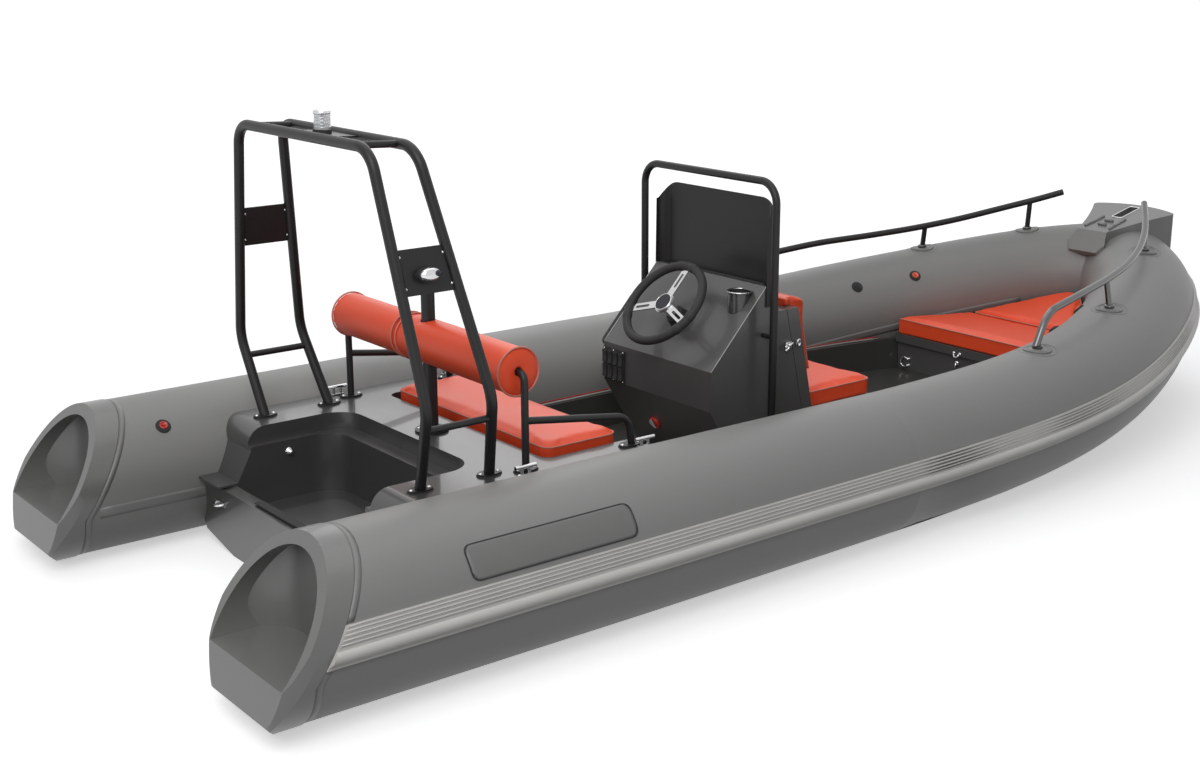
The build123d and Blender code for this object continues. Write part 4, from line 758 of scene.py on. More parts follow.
@dataclass
class Fasteners:
    """Screw heads, put on their seats by one Geometry Nodes tree and realised as plain mesh."""

    heads: dict[str, list[Fastening]] = field(default_factory=dict)

    def add(self, body: str, place: Vector, axis: Vector, size: float = 0.006) -> None:
        """Note one head for a body.

        Args:
            body: CAD body it moves with.
            place: Centre of its seat.
            axis: Direction it points in.
            size: Radius of the head.
        """
        self.heads.setdefault(body, []).append(Fastening(place, axis.normalized(), size))

    @staticmethod
    def _head() -> bpy.types.Object:
        """Make one domed head with a washer and a driver recess.

        Returns:
            The head, outside the scene.
        """
        mesh = bmesh.new()
        Shapes.turned(mesh, Vector(), UP,
                      [(1.35, -0.2), (1.35, 0.12), (1.25, 0.16), (1.0, 0.17), (0.98, 0.42),
                       (0.8, 0.6), (0.45, 0.68), (0.4, 0.67), (0.36, 0.4), (0.02, 0.38)], 16)
        data = bpy.data.meshes.new("head")
        bmesh.ops.recalc_face_normals(mesh, faces=mesh.faces)
        mesh.to_mesh(data)
        mesh.free()
        return bpy.data.objects.new("head", data)

    @staticmethod
    def _tree() -> tuple[bpy.types.NodeTree, str, str]:
        """Build the instancing tree and return it with its two input identifiers.

        Returns:
            The tree and the identifiers of its part and material inputs.
        """
        tree = bpy.data.node_groups.new("put_heads", "GeometryNodeTree")
        face = tree.interface
        face.new_socket("Geometry", in_out="INPUT", socket_type="NodeSocketGeometry")
        part = face.new_socket("Part", in_out="INPUT", socket_type="NodeSocketObject")
        coat = face.new_socket("Material", in_out="INPUT", socket_type="NodeSocketMaterial")
        face.new_socket("Geometry", in_out="OUTPUT", socket_type="NodeSocketGeometry")
        kinds = {"source": "NodeGroupInput", "sink": "NodeGroupOutput",
                 "info": "GeometryNodeObjectInfo", "put": "GeometryNodeInstanceOnPoints",
                 "real": "GeometryNodeRealizeInstances", "coat": "GeometryNodeSetMaterial"}
        nodes = {name: tree.nodes.new(kind) for name, kind in kinds.items()}
        for name, kind in (("axis", "FLOAT_VECTOR"), ("size", "FLOAT")):
            nodes[name] = add_node(tree, "GeometryNodeInputNamedAttribute", {"Name": name},
                                   data_type=kind)
        nodes["turn"] = add_node(tree, "FunctionNodeAlignRotationToVector", axis="Z")
        wire(tree, nodes, "source.Geometry > put.Points", "source.Part > info.Object",
             "info.Geometry > put.Instance", "axis.Attribute > turn.Vector",
             "turn.Rotation > put.Rotation", "size.Attribute > put.Scale",
             "put.Instances > real.Geometry", "real.Geometry > coat.Geometry",
             "source.Material > coat.Material", "coat.Geometry > sink.Geometry")
        return tree, part.identifier, coat.identifier

    def build(self) -> list[bpy.types.Object]:
        """Make one piece of heads for each body.

        Returns:
            The pieces.
        """
        head = self._head()
        tree, part_id, coat_id = self._tree()
        pieces = []
        for body, heads in self.heads.items():
            data = bpy.data.meshes.new("seats")
            data.from_pydata([tuple(h.place) for h in heads], [], [])
            axis = data.attributes.new("axis", "FLOAT_VECTOR", "POINT")
            axis.data.foreach_set("vector", [c for h in heads for c in h.axis])
            size = data.attributes.new("size", "FLOAT", "POINT")
            size.data.foreach_set("value", [h.size for h in heads])
            seats = bpy.data.objects.new("seats", data)
            bpy.context.scene.collection.objects.link(seats)
            run = seats.modifiers.new("heads", "NODES")
            run.node_group = tree
            run[part_id] = head
            run[coat_id] = Finishes.STEEL.material()
            graph = bpy.context.evaluated_depsgraph_get()
            made = bpy.data.meshes.new_from_object(seats.evaluated_get(graph))
            bpy.data.objects.remove(seats)
            pieces.append(Shapes.place("fasteners_" + body, made, Finishes.STEEL, body))
        bpy.data.objects.remove(head)
        return pieces


FASTENERS = Fasteners()


@dataclass
class Pad:
    """A padded piece made from a CAD solid: swollen by a cloth simulation, then piped."""

    node: str
    body: str
    panel: Vector
    voxel: float = 0.009
    inset: float = 0.002
    cap: float = 0.015
    piping: float = 0.003
    sole: float = 0.0003
    frames: int = 20

    def _solid(self) -> bmesh.types.BMesh:
        """Return the CAD node's mesh with its doubled vertices merged.

        Returns:
            The mesh, which the caller frees.
        """
        mesh = bmesh.new()
        mesh.from_mesh(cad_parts[self.node].data)
        bmesh.ops.remove_doubles(mesh, verts=mesh.verts, dist=1e-5)
        return mesh

    def _edge_loops(self) -> list[list[Vector]]:
        """Return the closed lines round the faces that look along the panel direction.

        Returns:
            The points of each line.
        """
        mesh = self._solid()
        links: dict[int, list[int]] = {}
        for edge in mesh.edges:
            if len(edge.link_faces) != 2:
                continue
            looks = [f.normal.dot(self.panel) > 0.75 for f in edge.link_faces]
            if looks[0] != looks[1]:
                a, b = edge.verts[0].index, edge.verts[1].index
                links.setdefault(a, []).append(b)
                links.setdefault(b, []).append(a)
        places = {v.index: v.co.copy() for v in mesh.verts}
        mesh.free()
        loops = []
        left = set(links)
        while left:
            start = left.pop()
            loop = [start]
            here, before = start, None
            while True:
                onward = [n for n in links[here] if n != before and n in left]
                if not onward:
                    break
                before, here = here, onward[0]
                left.discard(here)
                loop.append(here)
            if len(loop) > 3:
                loops.append([places[i] for i in loop])
        return loops

    @staticmethod
    def _resample(loop: Sequence[Vector], gap: float) -> list[Vector]:
        """Space a closed line's points evenly and soften its corners.

        Args:
            loop: Points of the line.
            gap: Distance between the new points.

        Returns:
            The new points.
        """
        closed = list(loop) + [loop[0]]
        lengths = [0.0]
        for a, b in zip(closed, closed[1:]):
            lengths.append(lengths[-1] + (b - a).length)
        count = max(int(lengths[-1] / gap), 12)
        out = []
        k = 0
        for i in range(count):
            target = lengths[-1] * i / count
            while lengths[k + 1] < target:
                k += 1
            span = lengths[k + 1] - lengths[k] or 1.0
            out.append(closed[k].lerp(closed[k + 1], (target - lengths[k]) / span))
        return Pad._softened(out, 3)

    @staticmethod
    def _softened(line: list[Vector], times: int) -> list[Vector]:
        """Round the corners of a closed line by averaging each point with its neighbours.

        Args:
            line: Points of the line.
            times: Rounds of averaging.

        Returns:
            The rounded line.
        """
        count = len(line)
        for _ in range(times):
            line = [(line[i - 1] + line[i] * 2 + line[(i + 1) % count]) / 4 for i in range(count)]
        return line

    @staticmethod
    def _freeze(piece: bpy.types.Object) -> bpy.types.Mesh:
        """Turn a piece's live modifiers into plain mesh and return it.

        Args:
            piece: The piece.

        Returns:
            The new mesh.
        """
        graph = bpy.context.evaluated_depsgraph_get()
        data = bpy.data.meshes.new_from_object(piece.evaluated_get(graph))
        piece.modifiers.clear()
        piece.data = data
        return data

    def _swell(self, piece: bpy.types.Object) -> None:
        """Blow the pad up with the Cloth modifier, and cap how far each point goes.

        Args:
            piece: The piece.
        """
        scene = bpy.context.scene
        rest = [v.co.copy() for v in piece.data.vertices]
        cloth = piece.modifiers.new("cloth", "CLOTH")
        for label, value in (("use_pressure", True), ("uniform_pressure_force", 4),
                             ("tension_stiffness", 12), ("compression_stiffness", 12),
                             ("bending_stiffness", 1.5), ("quality", 4)):
            setattr(cloth.settings, label, value)
        cloth.settings.effector_weights.gravity = 0
        cloth.point_cache.frame_start, cloth.point_cache.frame_end = 1, self.frames
        for number in range(1, self.frames + 1):
            scene.frame_set(number)
        graph = bpy.context.evaluated_depsgraph_get()
        moved = [v.co.copy() for v in piece.evaluated_get(graph).data.vertices]
        piece.modifiers.remove(cloth)
        scene.frame_set(1)
        for vertex, a, b in zip(piece.data.vertices, rest, moved):
            push = b - a
            if push.length > self.cap:
                push *= self.cap / push.length
            vertex.co = a + push

    def build(self) -> list[bpy.types.Object]:
        """Make the pad and its piping.

        Returns:
            The pad first, then its piping.
        """
        low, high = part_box(self.node)
        piece = Shapes.from_mesh(self.node + "_pad", self._solid(), Finishes.VINYL, self.body)
        voxels = piece.modifiers.new("voxels", "REMESH")
        voxels.mode = "VOXEL"
        voxels.voxel_size = self.voxel
        data = self._freeze(piece)
        data.materials.clear()
        data.materials.append(Finishes.VINYL.material())
        ground = bmesh.new()
        ground.from_mesh(data)
        bmesh.ops.smooth_vert(ground, verts=ground.verts, factor=0.5, use_axis_x=True,
                              use_axis_y=True, use_axis_z=True)
        ground.normal_update()
        for vertex in ground.verts:
            vertex.co -= vertex.normal * self.inset
        ground.to_mesh(data)
        ground.free()
        self._swell(piece)
        finer = piece.modifiers.new("finer", "SUBSURF")
        finer.levels = finer.render_levels = 1
        data = self._freeze(piece)
        data.polygons.foreach_set("use_smooth", [True] * len(data.polygons))
        floor = low.z + self.sole
        for vertex in data.vertices:
            vertex.co.z = max(vertex.co.z, floor)
        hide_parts(self.node)
        made = [piece]
        if self.piping:
            skin = BVHTree.FromPolygons([v.co for v in data.vertices],
                                        [p.vertices for p in data.polygons])
            mesh = bmesh.new()
            for loop in self._edge_loops():
                line = []
                for spot in self._resample(loop, 0.008):
                    place, normal = skin.find_nearest(spot)[:2]
                    line.append(place + normal * (self.piping * 0.35))
                Shapes.rod(mesh, self._softened(line, 4), self.piping, 8, closed=True)
            made.append(Shapes.from_mesh(self.node + "_piping", mesh, Finishes.PIPING, self.body))
        LOG.info("pad %s spans %s to %s", self.node, tuple(low), tuple(high))
        return made


@dataclass
class Upholstery:
    """Every cushion on the boat."""

    welt: float = 0.0036
    welt_inset: float = 0.001
    roll_end: float = 0.003
    pads: list[Pad] = field(default_factory=lambda: [
        Pad("stern_cushion", "hull", UP),
        Pad("seat_cushion", "seat_module", UP, voxel=0.008),
        Pad("seat_back_cushion", "seat_module", Vector((0.978, 0, 0.208)), voxel=0.008),
        Pad("bow_cushion_aft", "bow_lid", UP, voxel=0.008),
        Pad("bow_cushion_fore", "hull", Vector((-0.228, 0, 0.974)), voxel=0.008),
        *(Pad(node, "hull", Vector((0, side, 0)), voxel=0.008, cap=0.006, inset=0.003, piping=0.0)
          for node, side in (("bolster_port", 1), ("bolster_starboard", -1))),
    ])

    def build(self) -> list[bpy.types.Object]:
        """Make every pad, and the welts round the ends of the two rolls.

        Returns:
            The pieces.
        """
        made = []
        for pad in self.pads:
            made += pad.build()
        made.append(self._roll_welts())
        return made

    def _roll_welts(self) -> bpy.types.Object:
        """Light welts at the ends of the backrest rolls.

        Returns:
            The piece.
        """
        mesh = bmesh.new()
        for node in ("bolster_port", "bolster_starboard"):
            low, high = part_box(node)
            middle = (low + high) / 2
            radius = (high.z - low.z) / 2 - self.welt_inset
            for y in (low.y + self.roll_end, high.y - self.roll_end):
                ring = ellipse(Vector((middle.x, y, middle.z)), -AFT * radius, UP * radius, 60)
                Shapes.rod(mesh, ring, self.welt, 8, closed=True)
        return Shapes.from_mesh("roll_welts", mesh, Finishes.PIPING, "hull")


@dataclass
class TubeDetails:
    """Seams, tapes, grooves, valves and patches on the air tubes."""

    strake_tip_x: float = 2.972
    valves: tuple = (("valve_insert_stern", -1.897, 133.4, Finishes.RED),
                     ("valve_insert_middle", 1.758, 136.4, Finishes.SOFT),
                     ("valve_insert_bow", 2.090, 138.3, Finishes.ORANGE))
    feet: tuple = ((1, (1.242, 2.195, 2.685)), (-1, (1.242, 1.890, 2.664)))

    def build(self) -> list[bpy.types.Object]:
        """Make the pieces that lie on the tubes.

        Returns:
            The pieces.
        """
        return [self._tapes(), self._trim("tube_trim_red", 0.010, 0.0045, Finishes.RED),
                self._trim("tube_trim_grey", 0.001, 0.0065, Finishes.STRAKE),
                self._grooves(), self._ridges(), *self._valves(), *self._badges(), self._rings()]

    def _tapes(self) -> bpy.types.Object:
        """Overlapped fabric tapes along and across the tubes.

        Returns:
            The piece.
        """
        mesh = bmesh.new()
        for side in SIDES:
            band = []
            for angle in steps(19.0, 352.0, 90):
                start = TUBES.stern_x(angle) + 0.002
                band.append([TUBES.point(start + run, angle, proud, side)
                             for run, proud in ((0, -0.002), (0, 0.0008), (0.026, 0.0008),
                                                (0.026, -0.002))])
            Shapes.loft(mesh, band)
            for low, high in ((187.0, 196.0), (-70.0, -62.0)):
                Shapes.strip(mesh, steps(TUBES.stern_x(low) + 0.03, 2.6, 90), lambda x, a=low: a,
                             lambda x, a=high: a, 0.0012, side)
        return Shapes.from_mesh("seam_tapes", mesh, Finishes.TAPE, "hull")

    def _trim(self, name: str, lift: float, width: float, finish: Finish) -> bpy.types.Object:
        """Thin line where the tubes meet the cockpit liner.

        Args:
            name: Name of the piece.
            lift: Height of the band above the joint.
            width: Width of the band.
            finish: Its surface finish.

        Returns:
            The piece.
        """
        mesh = bmesh.new()
        start, end = -0.64, 1.83
        for side in SIDES:
            Shapes.strip(mesh, steps(start, end, 60),
                         lambda x: TUBES.angle_at(x, 0.276 + lift + width),
                         lambda x: TUBES.angle_at(x, 0.276 + lift), 0.0028, side, across=5)
        return Shapes.from_mesh(name, mesh, finish, "hull")

    def _grooves(self) -> bpy.types.Object:
        """Shallow lines along the flat of the rub strakes.

        Returns:
            The piece.
        """
        mesh = bmesh.new()
        for side in SIDES:
            for angle in (6.4, 8.6, 11.2, 13.8, 16.2):
                Shapes.strip(mesh, steps(TUBES.stern_x(angle) + 0.006, self.strake_tip_x, 120),
                             lambda x, a=angle: a - 0.16, lambda x, a=angle: a + 0.16, 0.0088,
                             side, base=0.006, across=3)
        return Shapes.from_mesh("strake_grooves", mesh, Finishes.GROOVE, "hull")

    def _ridges(self) -> bpy.types.Object:
        """Raised ribs between the grooves of the rub strakes.

        Returns:
            The piece.
        """
        mesh = bmesh.new()
        for side in SIDES:
            for low, high in ((6.9, 8.1), (9.2, 10.6), (11.8, 13.2), (14.4, 15.6), (16.8, 17.9)):
                Shapes.strip(mesh, steps(TUBES.stern_x(high) + 0.006, self.strake_tip_x, 120),
                             lambda x, a=low: a, lambda x, a=high: a, 0.0102, side, base=0.006,
                             across=5)
        return Shapes.from_mesh("strake_ridges", mesh, Finishes.STRAKE, "hull")

    def _valves(self) -> list[bpy.types.Object]:
        """Turned inserts of the air valves, red, black and orange, and their collars.

        Returns:
            The pieces.
        """
        made, collars = [], bmesh.new()
        for name, x, angle, finish in self.valves:
            mesh = bmesh.new()
            for side in SIDES:
                skin = TUBES.point(x, angle, 0.0, side)
                axis = (skin - TUBES.point(x, angle, -0.05, side)).normalized()
                base = TUBES.point(x, angle, 0.0085, side)
                Shapes.turned(mesh, base, axis,
                              [(0.0165, -0.004), (0.0165, 0.001), (0.015, 0.003),
                               (0.012, 0.0035), (0.0105, 0.001), (0.001, 0.001)], 28)
                Shapes.turned(mesh, base, axis, [(0.0055, -0.001), (0.0055, 0.0042),
                                                 (0.0045, 0.005), (0.0005, 0.005)], 6)
                Shapes.turned(collars, skin, axis,
                              [(0.0285, -0.004), (0.0285, 0.003), (0.026, 0.0055),
                               (0.0225, 0.0062), (0.0222, 0.001)], 32)
            made.append(Shapes.from_mesh(name, mesh, finish, "hull"))
        made.append(Shapes.from_mesh("valve_collars", collars, Finishes.RUBBER, "hull"))
        return made

    def _badges(self) -> list[bpy.types.Object]:
        """Blank bonded patches with rounded corners and a raised border.

        Returns:
            The pieces.
        """
        low_x, high_x, low_a, high_a = -1.707, -1.079, 22.2, 45.7
        corner, columns, rows = 0.03, 40, 12
        long, radius = high_x - low_x, TUBES.radius(-1.4)
        arc = math.radians(high_a - low_a) * radius
        outline = rounded([(0, 0), (long, 0), (long, arc), (0, arc)], corner, 7)
        total = len(outline)
        face = bmesh.new()
        rim = bmesh.new()
        for side in SIDES:

            def put(u: float, v: float, proud: float) -> Vector:
                """Point over the skin, u along the patch and v up it."""
                return TUBES.point(low_x + u, low_a + math.degrees(v / radius), proud, side)

            grid = []
            for u in steps(0, long, columns + 1):
                short = corner - min(u, long - u, corner)
                pinch = corner - math.sqrt(max(corner ** 2 - short ** 2, 0))
                grid.append([face.verts.new(put(u, v, 0.0019))
                             for v in steps(pinch, arc - pinch, rows + 1)])
            for here, ahead in zip(grid, grid[1:]):
                for j in range(rows):
                    face.faces.new((here[j], ahead[j], ahead[j + 1], here[j + 1]))
            for inset, thick in ((0.0, 0.0028), (0.011, 0.0014)):
                loop = []
                for k in range(total):
                    a, b = Vector(outline[k]), Vector(outline[(k + 1) % total])
                    parts = max(int((b - a).length / 0.012), 1)
                    for m in range(parts):
                        spot = a.lerp(b, m / parts)
                        u = inset + spot.x * (long - 2 * inset) / long
                        v = inset + spot.y * (arc - 2 * inset) / arc
                        loop.append(put(u, v, 0.0014))
                Shapes.rod(rim, loop, thick, 6, closed=True)
        plate = Shapes.from_mesh("badge_faces", face, Finishes.BADGE, "hull")
        thick = plate.modifiers.new("thick", "SOLIDIFY")
        thick.thickness = 0.0019
        thick.offset = 0
        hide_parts("tube_patches")
        return [plate, Shapes.from_mesh("badge_rims", rim, Finishes.RUBBER, "hull")]

    def _rings(self) -> bpy.types.Object:
        """Second, wider fabric ring round each rail patch.

        Returns:
            The piece.
        """
        mesh = bmesh.new()
        for side, feet in self.feet:
            for foot in feet:
                lean = TUBES.axes(foot)[2]
                x = foot - TUBES.radius(foot) * lean.x
                radius = TUBES.radius(x)
                for ring, size in ((0.078, 0.0016), (0.0565, 0.0022), (0.044, 0.0018)):
                    proud = 0.0 if ring > 0.06 else 0.0042
                    loop = []
                    for turn in steps(0, 2 * math.pi, 49)[:-1]:
                        run = ring * math.cos(turn) * TUBES.axes(x)[0].x
                        angle = 90 - math.degrees(ring * math.sin(turn) / radius)
                        loop.append(TUBES.point(x + run, angle, proud, side))
                    Shapes.rod(mesh, loop, size, 6, closed=True, flat=0.8)
        return Shapes.from_mesh("foot_rings", mesh, Finishes.TUBE, "hull")


@dataclass
class SternDetails:
    """Arch, deck and transom fittings."""

    deck_z: float = 0.480
    light_z: float = 1.190
    flange: float = 0.0085
    bolt_run: float = 0.034
    bolt_r: float = 0.0055
    post_x: float = -1.15
    plate: float = 0.0056
    screw_r: float = 0.0032
    feet: tuple = ((-1.542, 0.55), (-1.271, 0.55), (-1.15, 0.592), (-0.698, 0.592))
    # half length and half height of a side light's shell and window, and the window's offset
    shell: tuple = (0.0405, 0.0235)
    window: tuple = (0.017, 0.0115)
    window_run: float = 0.019
    foot: tuple = (0.045, 0.0279)
    # columns: height and distance from the centreline at the kink and at the top of a leg
    leg_y: tuple = ((0.777, 0.656), (1.586, 0.453))

    def build(self) -> list[bpy.types.Object]:
        """Make the stern's small fittings.

        Returns:
            The pieces.
        """
        self._bolts()
        return [self._light_bodies(), self._light_lenses(), self._mast_cap(), self._well_bolts(),
                self._flange_gaskets()]

    def _bolts(self) -> None:
        """Bolt heads on the feet of the arch, the backrest and the tow post."""
        top = self.deck_z + self.flange
        for x, y in self.feet:
            for side in SIDES:
                for way in SIDES:
                    spot = Vector((x - way * self.bolt_run, side * y, top))
                    FASTENERS.add("hull", spot, UP, self.bolt_r)
        for dx in SIDES:
            for dy in SIDES:
                spot = Vector((self.post_x + dx * self.bolt_run, dy * self.bolt_run, top))
                FASTENERS.add("hull", spot, UP, self.bolt_r)
        for side in SIDES:
            for z, aft, fore in ((1.155, -1.575, -1.404), (1.253, -1.581, -1.42)):
                for x in (aft, fore):
                    spot, out = self._on_leg(side, x, z)
                    for way in SIDES:
                        FASTENERS.add("hull", spot + out * (self.plate / 2 * way), out * way,
                                      self.screw_r)

    def _on_leg(self, side: int, x: float, z: float) -> tuple[Vector, Vector]:
        """Return a point on the arch's side plane at x and z, and its outward direction.

        Args:
            side: 1 for port, -1 for starboard.
            x: Distance forward.
            z: Height above the waterline.

        Returns:
            The point and the direction.
        """
        (low_z, low_y), (high_z, high_y) = self.leg_y
        slope = (high_y - low_y) / (high_z - low_z)
        y = low_y + slope * (z - low_z)
        return Vector((x, side * y, z)), Vector((0, side, -slope)).normalized()

    def _side_frame(self, side: int) -> tuple[Vector, Vector, Vector, Vector]:
        """Return the centre, outward, forward and upward directions of a side light.

        Args:
            side: 1 for port, -1 for starboard.

        Returns:
            The centre and the three directions.
        """
        low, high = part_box("side_lights")
        centre, out = self._on_leg(side, (low.x + high.x) / 2, self.light_z)
        forward = -AFT
        return centre + out * (self.plate / 2), out, forward, out.cross(forward) * side

    def _light_bodies(self) -> bpy.types.Object:
        """Bright shells of the two side lights.

        Returns:
            The piece.
        """
        mesh = bmesh.new()
        for side in SIDES:
            centre, out, forward, up = self._side_frame(side)
            Shapes.loft(mesh, [
                ellipse(centre + out * height, forward * (self.shell[0] * share),
                        up * (self.shell[1] * share), 32)
                for share, height in ((1.0, 0.018), (0.96, 0.028), (0.84, 0.036), (0.6, 0.041),
                                      (0.05, 0.043))])
        return Shapes.from_mesh("side_light_shells", mesh, Finishes.STEEL, "hull")

    def _light_lenses(self) -> bpy.types.Object:
        """Dark windows in the shells of the side lights.

        Returns:
            The piece.
        """
        mesh = bmesh.new()
        for side in SIDES:
            centre, out, forward, up = self._side_frame(side)
            middle = centre + forward * self.window_run
            Shapes.loft(mesh, [
                ellipse(middle + out * height, forward * (self.window[0] * share),
                        up * (self.window[1] * share), 24)
                for share, height in ((1.0, 0.024), (0.92, 0.040), (0.5, 0.0445), (0.05, 0.0455))])
        return Shapes.from_mesh("side_light_windows", mesh, Finishes.DARK_LENS, "hull")

    @staticmethod
    def _mast_cap() -> bpy.types.Object:
        """Bright cap and ribs of the all-round light.

        Returns:
            The piece.
        """
        low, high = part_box("mast_light_lens")
        centre = Vector(((low.x + high.x) / 2, 0, low.z))
        mesh = bmesh.new()
        height = high.z - low.z
        Shapes.turned(mesh, centre, UP, [(0.0295, height - 0.012), (0.0305, height - 0.010),
                                         (0.0305, height - 0.002), (0.027, height + 0.0005),
                                         (0.001, height + 0.001)], 36)
        for k in range(4):
            z = 0.008 + k * 0.011
            Shapes.turned(mesh, centre, UP,
                          [(0.0283, z), (0.0292, z + 0.0012), (0.0283, z + 0.0024)], 36)
        Shapes.turned(mesh, centre, UP, [(0.006, 0.002), (0.006, height - 0.012)], 12)
        return Shapes.from_mesh("mast_light_cap", mesh, Finishes.STEEL, "hull")

    @staticmethod
    def _well_bolts() -> bpy.types.Object:
        """Through bolts in the walls of the splash well.

        Returns:
            The piece.
        """
        mesh = bmesh.new()
        for side in SIDES:
            base = Vector((-1.52, side * 0.4148, 0.372))
            axis = Vector((0, -side, 0))
            Shapes.turned(mesh, base, axis, [(0.016, -0.001), (0.016, 0.003), (0.0115, 0.0035),
                                             (0.0115, 0.012), (0.008, 0.0125), (0.0065, 0.022),
                                             (0.001, 0.0225)], 6)
        return Shapes.from_mesh("well_bolts", mesh, Finishes.STEEL, "hull")

    def _flange_gaskets(self) -> bpy.types.Object:
        """Thin black seats under the round and oval feet.

        Returns:
            The piece.
        """
        mesh = bmesh.new()
        for x, y in self.feet:
            for side in SIDES:
                Shapes.loft(mesh, [
                    ellipse(Vector((x, side * y, self.deck_z + z)), -AFT * (self.foot[0] * share),
                            PORT * (self.foot[1] * share), 32)
                    for share, z in ((1.08, 0.0002), (1.08, 0.0022), (1.0, 0.0028))])
        return Shapes.from_mesh("foot_gaskets", mesh, Finishes.RUBBER, "hull")


